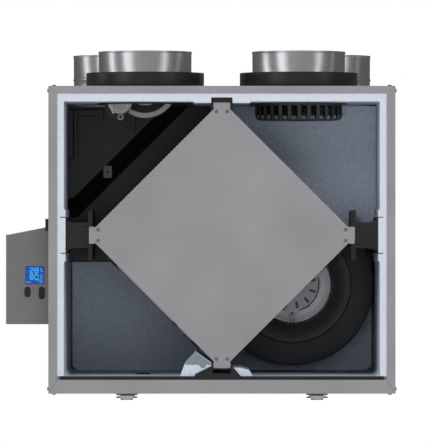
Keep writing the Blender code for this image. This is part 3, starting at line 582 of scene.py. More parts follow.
def build_edge_strips(plate_front):
    """A bright strip and black pieces that show past the front plate on the lower filter's side: the long black
    strip is painted shadow along that edge, with short black blocks beside it.
    """
    turn = at((CORE.x, plate_front, CORE.z), spin(135, "Y"))
    strip, shadow_and_blocks = bmesh.new(), bmesh.new()
    block(strip, (0.006, 0.002, 0.17), turn @ move(PLATE_EDGE - 0.0014, 0.005, 0.0))
    # Painted shadow: a long black strip behind the plate's edge; the short black blocks after it lie beside it
    block(shadow_and_blocks, (0.006, 0.004, 0.205), turn @ move(PLATE_EDGE - 0.0006, 0.008, 0.0))
    block(shadow_and_blocks, (0.005, 0.002, 0.012), turn @ move(PLATE_EDGE + 0.0004, 0.0045, 0.048))
    for along, length in ((-0.093, 0.03), (0.088, 0.036)):
        block(shadow_and_blocks, (0.006, 0.004, length), turn @ move(PLATE_EDGE + 0.0014, 0.008, along))
    finish_piece("filter_strip", strip, STEEL, "core", edge=0.0003)
    finish_piece("filter_shadow_and_blocks", shadow_and_blocks, BLACK, "core", edge=0.0004)


def build_core_layers():
    """The exchanger as a stack of thin sheets with ribs between them, crossing from layer to layer."""
    low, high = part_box("exchanger_block")
    cut_half, pitch, sheet_thick = 0.0115, 0.0042, 0.0009
    tip = (high.x - low.x) / 2
    reach = tip + cut_half
    depth = high.y - low.y
    count = int(depth / pitch)
    outline = []
    for quarter in range(4):
        turn = Matrix.Rotation(math.radians(quarter * 90), 2)
        outline += [tuple(turn @ Vector(point)) for point in ((cut_half, tip), (-cut_half, tip))]
    sheet = [(across, CORE.z + up) for across, up in outline]
    heart = [(across * 0.985, CORE.z + up * 0.985) for across, up in outline]
    bm = bmesh.new()
    for index in range(count + 1):
        near = low.y + index * (depth - sheet_thick) / count
        prism(bm, sheet, near, near + sheet_thick)
    prism(bm, heart, low.y + 0.0002, high.y - 0.0002)
    side = math.sqrt(2) * (tip - cut_half) / 2
    ribs_each_way = 10
    for index in range(count):
        near = low.y + (index + 0.5) * depth / count
        turn = spin(-45 if index % 2 else 45, "Y")
        for step in range(-ribs_each_way, ribs_each_way + 1):
            shift = step * side / (ribs_each_way + 0.5)
            for flip in (-1, 1):
                spot = turn @ Vector((flip * (reach / math.sqrt(2) - 0.0012), 0.0, shift))
                block(bm, (0.0024, 0.0033, 0.0006), at((spot.x, near, CORE.z + spot.z), turn))
    layers = finish_piece("exchanger_layers", bm, FILM, "core")
    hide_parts("exchanger_block")


def build_filter(node, body, facing):
    """A fibre mat, dimpled where it is welded, in a thin frame. Its own +X points off the core's face."""
    low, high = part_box(node)
    centre = (low + high) / 2
    deep = (high.y - low.y) / 2
    half, thick, inset = 0.1245, 0.005, 0.0055
    dimple, waves = 0.0011, 330.0
    columns, rows = 40, 32
    turn = at(centre, spin(-facing, "Y"))
    bm = bmesh.new()
    faces = {}
    for layer, level in (("top", thick * 0.62), ("bottom", -thick)):
        for column in range(columns + 1):
            for row in range(rows + 1):
                along = -half + inset + column * 2 * (half - inset) / columns
                depth = -deep + inset + row * 2 * (deep - inset) / rows
                wave = math.cos(along * waves) * math.cos(depth * waves)
                rise = dimple * wave if layer == "top" else 0.0
                faces[layer, column, row] = bm.verts.new(turn @ Vector((level + rise, depth, along)))
        for column in range(columns):
            for row in range(rows):
                ring = [(column, row), (column + 1, row), (column + 1, row + 1), (column, row + 1)]
                bm.faces.new([faces[layer, one, two] for one, two in ring])
    rim = [(column, 0) for column in range(columns)] + [(columns, row) for row in range(rows)]
    rim += [(column, rows) for column in range(columns, 0, -1)] + [(0, row) for row in range(rows, 0, -1)]
    for spot, after in zip(rim, rim[1:] + rim[:1]):
        quad = [("top", *spot), ("top", *after), ("bottom", *after), ("bottom", *spot)]
        bm.faces.new([faces[key] for key in quad])
    mat = finish_piece(node + "_mat", bm, FIBRE, body, sharp=50)
    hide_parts(node)
    rails = bmesh.new()
    wide = inset - 0.0002
    for side in (-1, 1):
        end, rim_end = side * (half - wide / 2), side * (deep - wide / 2)
        block(rails, (2 * thick, 2 * deep, wide), turn @ move(0.0, 0.0, end))
        block(rails, (2 * thick, wide, 2 * (half - inset)), turn @ move(0.0, rim_end, 0.0))
    finish_piece(node + "_frame", rails, BLACK, body, edge=0.0008)


# Left partition: raised panel and band, with a trough between them; the trough's near-black is painted shade

def build_partition_details():
    """The panel above the trough and the band below it, with a notch, ribs and screws."""
    left, top = -0.2541, 0.2219
    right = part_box("upper_left_partition")[1].x
    back, front = PARTITION - 0.0003, PARTITION - 0.0024
    band_in, band_out, panel_in = 0.22, 0.271, 0.3095
    wide, ledge = -0.2562, 0.0372
    bm = bmesh.new()
    band = [
        (wide, CORE.z + 0.009), (wide, ledge - 0.0006), (left + 0.008, ledge - 0.0004),
        (ledge - CORE.z - band_out + 0.001, ledge + 0.001), (-(band_out - top + CORE.z), top),
        (right, top), (right, CORE.z + band_in + right), (-(band_in - 0.009), CORE.z + 0.009),
    ]
    prism(bm, band, front, back)
    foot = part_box("upper_left_partition")[0].z + 0.001
    below = [
        (wide, CORE.z - 0.009), (wide, foot), (CORE.z - foot - band_in - 0.0025, foot),
        (-(band_in - 0.0065), CORE.z - 0.009),
    ]
    prism(bm, below, front, back)
    notch_x, notch_z, lintel, gap = -0.2465, 0.1355, 0.2165, 0.0012
    corner = CORE.z + panel_in + wide + 0.008
    panel = [
        (wide, corner), (wide, notch_z), (notch_x, notch_z), (notch_x, lintel),
        (-(panel_in - lintel + CORE.z), lintel), (wide + 0.0094, corner + 0.0014),
    ]
    prism(bm, panel, front, back)
    notch = [
        (wide, notch_z + gap), (notch_x - gap, notch_z + gap), (notch_x - gap, lintel),
        (wide, lintel),
    ]
    strip = [
        (wide, lintel + gap), (-(panel_in - lintel - gap + CORE.z), lintel + gap),
        (-(panel_in - top + CORE.z), top), (wide, top),
    ]
    for outline in (notch, strip):
        prism(bm, outline, back - 0.0008, back)
    finish_piece("partition_cover", bm, SATIN_BLACK, edge=0.0008)
    ribs = bmesh.new()
    face = front - 0.0004
    rib_wide, rib_deep = 0.0009, 0.0012
    upright = ((notch_x, notch_z, lintel), (-0.24, 0.14, 0.212), (-0.197, 0.196, 0.212))
    level = ((notch_z, wide, notch_x), (lintel, notch_x, -0.205), (0.206, -0.24, -0.205))
    for across, low, high in upright:
        block(ribs, (rib_wide, rib_deep, high - low), at((across, face, (low + high) / 2)))
    for up, low, high in level:
        block(ribs, (high - low, rib_deep, rib_wide), at(((low + high) / 2, face, up)))
    block(ribs, (rib_wide, rib_deep, 0.023), at((-0.1441, face, 0.191)))
    finish_piece("partition_ribs", ribs, BLACK_AND_PAINTED_SHADE)
    bosses = bmesh.new()
    pan_screw(bosses, at((-0.2515, PARTITION - 0.0004, 0.2165), FACING_FRONT), 0.003)
    pan_screw(bosses, at((-0.252, front, 0.123), FACING_FRONT), 0.0016)
    pan_screw(bosses, at((-0.237, front, 0.113), FACING_FRONT), 0.0016)
    finish_piece("partition_screws", bosses, BLACK)


# Supply blower: heights are measured forward from the scroll's front face

def build_blower():
    """The rim of the scroll's face, then the inlet, the wheel and the motor's mount."""
    place = at(BLOWER, FACING_FRONT)
    bm = bmesh.new()
    annulus = [
        (0.0985, 0.0004), (0.0985, 0.0022), (0.0992, 0.003), (0.132, 0.003), (0.1345, 0.0024),
        (0.1358, 0.0012), (0.1358, 0.0004),
    ]
    lathe(bm, annulus, place, 160)
    finish_piece("scroll_rim", bm, SATIN_BLACK)
    build_bell_mouth(place)
    build_impeller(place)
    build_motor_mount(place)


def build_bell_mouth(place):
    """The inlet: a flange, then a quarter ellipse that narrows to the impeller's eye."""
    outer, eye, depth, wall = 0.0965, 0.0668, 0.02, 0.0014
    front = []
    for turn in range(8, 91, 6):
        angle = math.radians(turn)
        front.append((outer - (outer - eye) * math.sin(angle), 0.0026 - depth * (1 - math.cos(angle))))
    back = [(radius + wall * 0.8, height - wall) for radius, height in reversed(front)]
    profile = [(0.0972, 0.002), (0.0966, 0.0027)] + front + back + [(0.0966, 0.0004), (0.0972, 0.0004)]
    bm = bmesh.new()
    lathe(bm, profile, place, 160)
    mouth = finish_piece("inlet_bell", bm, BELL_BLACK, sharp=40)
    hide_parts("blower_inlet_ring")


def build_impeller(place):
    """A dished hub ring, a backplate, a front ring, and blades that lean back between them."""
    dish = [(0.0455, -0.0175), (0.048, -0.02), (0.052, -0.0212), (0.056, -0.02), (0.06, -0.016)]
    lip = [(0.0622, -0.0135), (0.0634, -0.013), (0.064, -0.0138), (0.064, -0.084), (0.0655, -0.0865)]
    backplate = [(0.088, -0.0885), (0.088, -0.0915), (0.0455, -0.0915)]
    front_ring = [(0.073, -0.0212), (0.0875, -0.0206), (0.088, -0.0235), (0.073, -0.0235)]
    bm = bmesh.new()
    lathe(bm, dish + lip + backplate, place, 128)
    lathe(bm, front_ring, place, 128)
    blades, steps, blade_thick = 36, 6, 0.0011
    for index in range(blades):
        start = index * TAU / blades
        low = [blade_point(start, step / steps, 0.0) for step in range(steps + 1)]
        high = [blade_point(start, step / steps, blade_thick) for step in range(steps, -1, -1)]
        extrude_outline(bm, low + high, -0.0886, -0.0232, place)
    impeller = finish_piece("impeller_wheel", bm, WHEEL_GREY, "supply_rotor", sharp=40)
    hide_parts("supply_impeller")


def blade_point(start, share, shift):
    """A point along a blade: it runs from the inner to the outer radius and leans back as it goes."""
    radius = 0.0735 + share * 0.0135
    return polar(radius, math.degrees(start - 0.22 * share ** 1.4 + shift / radius))


def build_motor_mount(place):
    """The slotted disc that carries the motor, with three screwed tabs and paired ribs to the inlet."""
    plate = [(0.0, 0.0048), (0.043, 0.0048), (0.0436, 0.0042), (0.0436, 0.0028), (0.0, 0.0028)]
    bm = bmesh.new()
    lathe(bm, plate, place, 96, ring=False)
    disc_piece = finish_piece("motor_disc", bm, PALE_GREY, UNIT)
    cutter = bmesh.new()
    slots = 12
    for index in range(slots):
        turn = place @ spin(index * 360 / slots + 12) @ move(0.035, 0.0, 0.0)
        extrude_outline(cutter, pill(0.012, 0.0046), 0.001, 0.006, turn)
    carve(disc_piece, cutter)
    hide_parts("supply_motor_mount")
    bm = bmesh.new()
    dome = [(0.0, 0.0064), (0.015, 0.0062), (0.0215, 0.0058), (0.0228, 0.005)]
    lathe(bm, dome + [(0.0228, 0.0046), (0.0, 0.0046)], place, 96, ring=False)
    finish_piece("motor_boss", bm, PALE_GREY, UNIT)
    tabs, screws, ribs = bmesh.new(), bmesh.new(), bmesh.new()
    near_side = [(0.0405, -0.013), (0.0455, -0.0115), (0.053, -0.0062)]
    far_side = [(0.053, 0.0062), (0.0455, 0.0115), (0.0405, 0.013)]
    tab = near_side + arc(0.053, 0.0, 0.005, -60, 60, 6) + far_side
    for arm in range(3):
        turn = place @ spin(-90 + arm * 120)
        extrude_outline(tabs, tab, 0.0029, 0.005, turn)
        hex_screw(screws, turn @ move(0.0508, 0.0, 0.005), 0.0033, 0.0024)
        for side in (-1, 1):
            block(ribs, (0.04, 0.0013, 0.0022), turn @ move(0.075, side * 0.0024, 0.0036))
        block(tabs, (0.003, 0.011, 0.0016), turn @ spin(34) @ move(0.0462, 0.0, 0.004))
    finish_piece("motor_tabs", tabs, PALE_GREY, UNIT, edge=0.0005)
    finish_piece("motor_screws", screws, STEEL, UNIT)
    finish_piece("motor_ribs", ribs, SATIN_BLACK, UNIT, edge=0.0003)


# Ports: collars, insulation rings, exhaust guard, fan and damper

def build_collars():
    """Four duct collars: a rolled rim, a swaged bead above the foot, and a screwed flange."""
    foot = HALF_H + 0.0003
    radius, wall, swage_top, swage_high = 0.0762, 0.001, foot + 0.02, 0.0045
    outside = [(radius + 0.0004, COLLAR_TOP)]
    for turn in range(80, -81, -20):
        across, up = polar(1.0, turn)
        outside.append((radius + 0.0012 * across, COLLAR_TOP - 0.0016 + 0.00144 * up))
    swage = [(radius, swage_top)]
    for turn in range(20, 180, 20):
        swage.append((radius + 0.0011 * polar(1.0, turn)[1], swage_top - turn / 180 * swage_high))
    swage.append((radius, swage_top - swage_high))
    base = [(radius, foot + 0.003), (radius + 0.0012, foot + 0.0016), (radius + 0.0086, foot + 0.0012)]
    inside = [(radius + 0.0088, foot), (radius - wall, foot), (radius - wall, COLLAR_TOP)]
    screws = bmesh.new()
    for side, port in PORTS.items():
        bm = bmesh.new()
        lathe(bm, outside + swage + base + inside, at((port.x, port.y, 0.0)), 160)
        collar = finish_piece("duct_collar_" + side, bm, BRIGHT_ZINC, UNIT, sharp=38)
        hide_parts("collar_" + side)
        for turn in (45, 135, 225, 315):
            across, along = polar(0.0812, turn)
            pan_screw(screws, at((port.x + across, port.y + along, foot + 0.0012)), 0.0024, 0.0012)
    finish_piece("collar_screws", screws, STEEL, UNIT)


def build_outer_rings():
    """The wide dark ring round each front collar."""
    foot, inner, outer = HALF_H + 0.0003, 0.095, 0.097
    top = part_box("outer_ring_left")[1].z
    profile = [
        (outer - 0.0006, top), (outer, top - 0.0006), (outer, foot + 0.0014),
        (outer - 0.0004, foot), (0.0858, foot), (0.0858, foot + 0.002),
        (inner - 0.0006, foot + 0.002), (inner, foot + 0.003), (inner, top - 0.0006),
        (inner + 0.0006, top),
    ]
    for side in ("left", "right"):
        port = PORTS["front_" + side]
        bm = bmesh.new()
        lathe(bm, profile, at((port.x, port.y, 0.0)), 160)
        ring = finish_piece("insulation_ring_" + side, bm, RUBBER)
        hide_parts("outer_ring_" + side)


def build_guard():
    """The exhaust guard: a ribbed basket, each window a U with a round lower end."""
    port = PORTS["front_right"]
    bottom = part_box("exhaust_guard")[0].z
    radius, wall, corner, floor_hole = 0.0718, 0.0018, 0.0085, 0.03
    flange = CEILING - 0.002
    outer_corner = arc(radius - corner, bottom + corner, corner, 0, -90, 6)
    inner_corner = arc(radius - corner, bottom + corner, corner - wall, -90, 0, 6)
    profile = [(0.079, CEILING), (0.079, flange), (radius, flange)] + outer_corner
    profile += [(floor_hole, bottom), (floor_hole, bottom + wall)] + inner_corner + [(radius - wall, CEILING)]
    bm = bmesh.new()
    lathe(bm, profile, at((port.x, port.y, 0.0)), 168)
    guard = finish_piece("fan_guard", bm, SATIN_BLACK, sharp=35)
    cutter = bmesh.new()
    windows, half_window, lintel = 28, 0.0052, flange - 0.0026
    round_end = arc(0.0, bottom + half_window, half_window, 180, 360, 8)
    window = round_end + [(half_window, lintel), (-half_window, lintel)]
    for index in range(windows):
        turn = at((port.x, port.y, 0.0), spin((index + 0.5) * 360 / windows + 90))
        prism(cutter, window, -0.076, -0.056, turn)
    carve(guard, cutter)
    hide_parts("exhaust_guard")
    build_guard_screen(port, bottom)


def build_guard_screen(port, bottom):
    """A fine wire screen just inside the guard's windows."""
    bm = bmesh.new()
    low, high = bottom + 0.009, CEILING - 0.0004
    inner, outer, wire, wires, hoops = 0.0684, 0.0691, 0.0009, 150, 9
    for index in range(wires):
        turn = at((port.x, port.y, 0.0), spin(index * 360 / wires))
        block(bm, (0.0006, 0.0011, high - low), turn @ move(0.0692, 0.0, (low + high) / 2))
    for level in range(hoops):
        height = low + level * (high - low) / (hoops - 1)
        section = [(inner, height), (inner, height + wire), (outer, height + wire), (outer, height)]
        lathe(bm, section, at((port.x, port.y, 0.0)), 75)
    finish_piece("guard_screen", bm, BLACK_AND_PAINTED_SHADE)


def build_exhaust_fan():
    """An axial wheel: a domed hub with twisted, swept blades."""
    port = PORTS["front_right"]
    bm = bmesh.new()
    cap = [(0.0, 0.247), (0.0225, 0.247), (0.025, 0.245), (0.0258, 0.23)]
    nose = [(0.0235, 0.2262), (0.016, 0.2238), (0.0, 0.2232)]
    lathe(bm, cap + nose, at((port.x, port.y, 0.0)), 96, ring=False)
    blades = 7
    for index in range(blades):
        add_blade(bm, port, index * TAU / blades)
    wheel = finish_piece("exhaust_wheel", bm, GREY, "exhaust_rotor", sharp=50)
    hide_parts("exhaust_impeller")


def add_blade(bm, port, start):
    """One blade, lofted from the hub to the tip: wide and steep at the hub, flatter at the tip."""
    rows, columns, thick = 7, 6, 0.0012
    sides = []
    for lift in (thick / 2, -thick / 2):
        grid = []
        for row in range(rows + 1):
            share = row / rows
            radius = 0.024 + share * 0.0412
            pitch = math.radians(40 - 16 * share)
            chord = 0.023 + 0.008 * share
            line = []
            for column in range(columns + 1):
                along = (column / columns - 0.5) * chord
                turn = start + 0.35 * share + along * math.cos(pitch) / radius
                camber = 0.0015 * math.cos(along / chord * math.pi)
                rise = 0.236 + along * math.sin(pitch) + camber + lift
                across, depth = polar(radius, math.degrees(turn))
                line.append(bm.verts.new((port.x + across, port.y + depth, rise)))
            grid.append(line)
        sides.append(grid)
    for grid in sides:
        for row in range(rows):
            for column in range(columns):
                bm.faces.new([grid[row][column], grid[row + 1][column],
                              grid[row + 1][column + 1], grid[row][column + 1]])
    ring = [(0, column) for column in range(columns)] + [(row, columns) for row in range(rows)]
    ring += [(rows, column) for column in range(columns, 0, -1)] + [(row, 0) for row in range(rows, 0, -1)]
    for (row, column), (next_row, next_column) in zip(ring, ring[1:] + ring[:1]):
        bm.faces.new([sides[0][row][column], sides[0][next_row][next_column],
                      sides[1][next_row][next_column], sides[1][row][column]])


# Damper: the flap with its raised rings, and the actuator that turns it

def build_damper():
    """The flap on its shaft, with two raised rings and fine teeth on the outer one."""
    bm = bmesh.new()
    disc = [
        (0.0, 0.0015), (0.045, 0.0015), (0.0535, 0.0013), (0.055, 0.0006), (0.055, -0.0008),
        (0.054, -0.0015), (0.0, -0.0015),
    ]
    lathe(bm, disc, at(FLAP, FACING_FRONT), 128, ring=False)
    shaft = [(0.0, 0.056), (0.0024, 0.056), (0.0024, -0.056), (0.0, -0.056)]
    lathe(bm, shaft, at(FLAP, FACING_RIGHT), 32, ring=False)
    flap = finish_piece("flap_disc", bm, BLACK, "damper")
    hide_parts("damper_flap")
    rings = bmesh.new()
    foot, shoulder, crest, chamfer = 0.0012, 0.0022, 0.0027, 0.0006
    for inner, outer in ((0.045, 0.053), (0.027, 0.0325)):
        section = [
            (inner, foot), (inner, shoulder), (inner + chamfer, crest), (outer - chamfer, crest),
            (outer, shoulder), (outer, foot),
        ]
        lathe(rings, section, at(FLAP, FACING_FRONT), 128)
    teeth = 48
    for index in range(teeth):
        turn = at(FLAP, FACING_FRONT) @ spin(index * 360 / teeth)
        block(rings, (0.0062, 0.0006, 0.0003), turn @ move(0.049, 0.0, 0.0028))
    finish_piece("flap_rings", rings, RING_GREY, "damper")
    build_actuator()


def build_actuator():
    """The motor's can with its ear, the clips and screws on its face, and the bracket behind it."""
    low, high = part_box("damper_motor")
    bm = bmesh.new()
    depth = high.y - low.y - 0.0003
    can = [(0.0, 0.0), (0.018, 0.0), (0.0197, -0.0005), (0.0204, -0.0018)]
    can += [(ACTUATOR_RADIUS, -depth), (0.0, -depth)]
    lathe(bm, can, at(ACTUATOR, FACING_FRONT), 96, ring=False)
    ear = Vector((ACTUATOR.x + 0.0012, high.y - 0.002, ACTUATOR.z - 0.0254))
    lug = [(0.0026, 0.0), (0.0026, -0.0015), (0.005, -0.0015), (0.005, -0.0003), (0.0046, 0.0)]
    lathe(bm, lug, at(ear, FACING_FRONT), 48)
    block(bm, (0.0056, 0.0015, 0.01), at((ear.x, ear.y + 0.00075, ear.z + 0.0084)))
    motor = finish_piece("actuator_can", bm, RING_GREY, UNIT)
    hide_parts("damper_motor")
    details = bmesh.new()
    lean = spin(-24, "Y")
    spot = Vector((ACTUATOR.x - 0.0165, ACTUATOR.y + 0.006, ACTUATOR.z - 0.004))
    block(details, (0.0042, 0.013, 0.026), at(spot, lean))
    block(details, (0.0075, 0.008, 0.004), at(spot + Vector((0.0075, 0.0, -0.013)), lean))
    for across, up in ((0.012, -0.007), (-0.006, -0.013)):
        screw = at(ACTUATOR + Vector((across, 0.0, up)), FACING_FRONT)
        pan_screw(details, screw, 0.0018, 0.0009)
    finish_piece("actuator_details", details, PALE_GREY, UNIT, edge=0.0004)
    plate = bmesh.new()
    middle_x, middle_z, radius, roof = ACTUATOR.x - 0.004, ACTUATOR.z - 0.0079, 0.021, 0.2505
    outline = [(middle_x - radius, roof)] + arc(middle_x, middle_z, radius, 180, 360, 24)
    outline += [(middle_x + radius, ACTUATOR.z), (middle_x - 0.012, 0.242), (middle_x - 0.012, roof)]
    prism(plate, outline, FLAP.y - 0.0055, FLAP.y - 0.004)
    finish_piece("actuator_bracket", plate, SATIN_BLACK, edge=0.0004)


# Control box: front plate, display digits and buttons

BOX_LOW, BOX_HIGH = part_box("control_box")
BOX_FRONT = BOX_LOW.y
SCREEN_LOW, SCREEN_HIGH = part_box("display_panel")
BOX_SHOULDER = 0.0083
SEGMENTS = {
    "0": "abcdef",
    "2": "abged",
    "5": "afgcd",
    "8": "abcdefg",
}


def build_control_box():
    """The front plate with its screen and button holes, the button caps, the side screws and the vents."""
    low, high, inset = BOX_LOW, BOX_HIGH, 0.0004
    outline = [
        (low.x + inset, low.z + inset), (high.x - inset, low.z + inset),
        (high.x - inset, high.z - inset), (low.x + 0.004, BOX_SHOULDER - inset),
        (low.x + inset, BOX_SHOULDER - inset),
    ]
    edge = 0.0003
    screen = [
        (SCREEN_LOW.x - edge, SCREEN_LOW.z - edge), (SCREEN_HIGH.x + edge, SCREEN_LOW.z - edge),
        (SCREEN_HIGH.x + edge, SCREEN_HIGH.z + edge), (SCREEN_LOW.x - edge, SCREEN_HIGH.z + edge),
    ]
    holes = [screen]
    for side in ("left", "right"):
        centre, size = middle("button_" + side), button_size(side)
        holes.append(upright_pill(centre, size.z + 0.0006, size.x + 0.0006))
        cap = bmesh.new()
        prism(cap, upright_pill(centre, size.z, size.x), BOX_FRONT - 0.002, BOX_FRONT + 0.004)
        button = finish_piece("button_cap_" + side, cap, BLACK, side + "_button", edge=0.0009)
        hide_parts("button_" + side)
    front, back = BOX_FRONT - 0.0006, BOX_FRONT + 0.0004
    plate_with_holes("box_fascia", outline, holes, front, back, GREY, UNIT, edge=0.0002)
    build_digits()
    screws, vents = bmesh.new(), bmesh.new()
    for depth in (0.03, 0.21):
        for up in (-0.12, -0.01):
            pan_screw(screws, at((low.x, BOX_FRONT + depth, up), spin(-90, "Y")), 0.0028, 0.0012)
    finish_piece("box_screws", screws, STEEL, UNIT)
    slots, pitch, first = 14, 0.0075, BOX_FRONT + 0.07
    for index in range(slots):
        block(vents, (0.0006, 0.0016, 0.034), at((low.x - 0.0001, first + index * pitch, -0.065)))
    finish_piece("box_vents", vents, BLACK_AND_PAINTED_SHADE, UNIT)


def button_size(side):
    """The cap's own width and height: the CAD node is wider than its cap by the hidden lip."""
    low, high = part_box("button_" + side)
    return high - low - Vector((0.0024, 0.0, 0.0024))


def upright_pill(centre, length, width):
    return [(centre.x - along, centre.z + across) for across, along in pill(length, width, 10)]


def build_digits():
    """Two rows of lit digits with a small one beside each, and a few bars under them."""
    bm = bmesh.new()
    centre = (SCREEN_LOW + SCREEN_HIGH) / 2
    for large, small, up in (("28", "5", 0.0078), ("80", "0", -0.0026)):
        for digit, across in zip(large, (-0.0052, 0.0027)):
            add_digit(bm, digit, centre.x + across, centre.z + up, 0.0068, 0.0094, 0.0016)
        add_digit(bm, small, centre.x + 0.0105, centre.z + up + 0.0006, 0.004, 0.0062, 0.001)
    long_bar = (0.007, -0.0078, 0.012, 0.0012)
    left_bar = (-0.0104, -0.0112, 0.008, 0.0014)
    right_bar = (0.0098, -0.0112, 0.0055, 0.0014)
    for across, up, wide, high in (long_bar, left_bar, right_bar):
        block(bm, (wide, 0.0003, high), at((centre.x + across, SCREEN_LOW.y - 0.0001, centre.z + up)))
    finish_piece("display_digits", bm, DIGIT, UNIT)


def add_digit(bm, digit, across, up, wide, high, thick):
    """One seven-segment digit: each segment is a bar with pointed ends."""
    half_w, half_h, narrow = (wide - thick) / 2, (high - thick) / 2, thick / 2
    places = {
        "a": (0.0, half_h, True),
        "b": (half_w, half_h / 2, False),
        "c": (half_w, -half_h / 2, False),
        "d": (0.0, -half_h, True),
        "e": (-half_w, -half_h / 2, False),
        "f": (-half_w, half_h / 2, False),
        "g": (0.0, 0.0, True),
    }
    for letter in SEGMENTS[digit]:
        side, rise, flat = places[letter]
        reach = (wide - thick * 0.9 if flat else half_h - thick * 0.15) / 2
        if flat:
            tips = [(reach, 0.0), (reach - narrow, narrow), (narrow - reach, narrow), (-reach, 0.0),
                    (narrow - reach, -narrow), (reach - narrow, -narrow)]
        else:
            tips = [(0.0, reach), (narrow, reach - narrow), (narrow, narrow - reach), (0.0, -reach),
                    (-narrow, narrow - reach), (-narrow, reach - narrow)]
        outline = [(across + side + tip_x, up + rise + tip_z) for tip_x, tip_z in tips]
        prism(bm, outline, SCREEN_LOW.y - 0.0003, SCREEN_LOW.y + 0.0001)


# Latches under the casing

def build_latches():
    """Each latch: its lever, the hinge pin between two cheeks, two small stops, and the base's rivets."""
    for side in ("left", "right"):
        base_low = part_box("latch_base_" + side)[0]
        centre_x = build_lever(side)
        hinge = Vector((centre_x, FRONT + 0.008, -0.2565))
        pin = bmesh.new()
        rod = [(0.0, 0.0175), (0.0011, 0.0173), (0.0011, -0.0173), (0.0, -0.0175)]
        lathe(pin, rod, at(hinge, FACING_RIGHT), 32, ring=False)
        rivets = bmesh.new()
        for way in (-1, 1):
            block(pin, (0.0012, 0.006, 0.0056), at((centre_x + way * 0.0128, hinge.y, base_low.z - 0.0026)))
            stop = (centre_x + way * 0.0028, base_low.y + 0.0006, base_low.z - 0.0006)
            block(pin, (0.002, 0.0014, 0.0014), at(stop))
            for depth in (0.012, 0.04):
                spot = (centre_x + way * 0.0146, base_low.y + depth, base_low.z)
                pan_screw(rivets, at(spot, spin(180, "X")), 0.002, 0.001)
        finish_piece("latch_pin_" + side, pin, SATIN_BLACK, UNIT, edge=0.0002)
        finish_piece("latch_rivets_" + side, rivets, STEEL, UNIT)


def build_lever(side):
    """A lever that narrows downwards, with dark grips on it. Returns the x of its middle."""
    low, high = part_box("latch_lever_" + side)
    centre_x = (low.x + high.x) / 2
    profile = [
        (low.y, high.z), (low.y, high.z - 0.005), (low.y + 0.006, low.z),
        (high.y, high.z - 0.004), (high.y, high.z),
    ]
    half_top, slope = 0.0115, 0.22
    bm = bmesh.new()
    ends = []
    for way in (-1, 1):
        corners = []
        for along, up in profile:
            half = half_top - slope * (high.z - up)
            corners.append(bm.verts.new((centre_x + way * half, along, up)))
        ends.append(corners)
        bm.faces.new(corners)
    close_sides(bm, ends[0], ends[1])
    body = side + "_latch"
    lever = finish_piece("lever_" + side, bm, LATCH_GREY, body, edge=0.0007)
    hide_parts("latch_lever_" + side)
    grips = bmesh.new()
    for way in (-1, 1):
        block(grips, (0.0034, 0.0006, 0.0015), at((centre_x + way * 0.008, low.y + 0.0018, low.z + 0.0015)))
        block(grips, (0.003, 0.024, 0.0004), at((centre_x + way * 0.005, low.y + 0.022, low.z + 0.002)))
    finish_piece("lever_grips_" + side, grips, BLACK, body, edge=0.0002)
    return centre_x


# Small marks on the foam: seams and a round mark on the wall, the painted shade on the wedge's upper face, and
# the sensor's tip

def build_wall_details():
    wall_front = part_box("upper_right_wall")[0].y
    bm = bmesh.new()
    block(bm, (0.0008, 0.0008, 0.044), at((0.0918, wall_front - 0.0002, 0.167)))
    block(bm, (0.076, 0.0008, 0.0008), at((0.2105, wall_front - 0.0002, 0.104)))
    for radius in (0.004, 0.0062):
        inner, outer, half = radius - 0.0004, radius + 0.0004, 0.0003
        section = [(inner, -half), (inner, half), (outer, half), (outer, -half)]
        lathe(bm, section, at((0.23, wall_front, 0.19), FACING_FRONT), 48)
    finish_piece("foam_seams", bm, FOAM_WALL, UNIT)
    # Painted shade: a thin dark foam sheet over the wedge's upper face, where that sloped face lies in shade
    wedge = bmesh.new()
    outline = [
        (-0.0176, -0.2004), (-0.042, -0.1826), (-0.0606, -0.2034), (-0.038, -0.2034),
        (-0.0335, -0.2085), (-0.029, -0.2085), (-0.025, -0.2034), (-0.0176, -0.2034),
    ]
    prism(wedge, outline, FOAM_FRONT - 0.0007, FOAM_FRONT - 0.0002)
    finish_piece("wedge_painted_shade", wedge, FOAM_PAINTED_SHADE, UNIT)
    centre = middle("temperature_sensor")
    tip = bmesh.new()
    dome = [(0.0, 0.0016), (0.0012, 0.0013), (0.002, 0.0), (0.0, 0.0)]
    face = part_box("temperature_sensor")[0].y
    lathe(tip, dome, at((centre.x, face, centre.z), FACING_FRONT), 32, ring=False)
    finish_piece("sensor_tip", tip, BLACK)


# Stage: pale floor, world light, lamps and camera. None of this is part of the object.

def build_stage():
    scene = bpy.context.scene
    mesh = bpy.data.meshes.new("floor")
    half, level = 2.5, -0.75
    corners = [(-half, -half, level), (half, -half, level), (half, half, level), (-half, half, level)]
    mesh.from_pydata(corners, [], [(0, 1, 2, 3)])
    floor = bpy.data.objects.new("floor", mesh)
    scene.collection.objects.link(floor)
    material, shader = shader_of("floor_paint", 0.8, 0.0)
    clouds = noise(material, coordinates(material), 3.0)
    tint(material, shader, clouds, (0.8, 0.8, 0.81), (0.84, 0.84, 0.85))
    mesh.materials.append(material)
    build_world(scene)
    key_size, fill_size = 1.2, 1.0
    add_lamp("key_left", (-1.2, -2.4, 1.7), key_size, 17.0)
    add_lamp("key_right", (1.2, -2.4, 1.7), key_size, 17.0)
    add_lamp("fill_left", (-2.2, -2.0, 0.0), fill_size, 8.0)
    add_lamp("fill_right", (2.2, -2.0, 0.0), fill_size, 8.0)
    add_lamp("low_fill", (0.0, -2.8, -0.3), fill_size, 9.0)
    build_camera(scene)


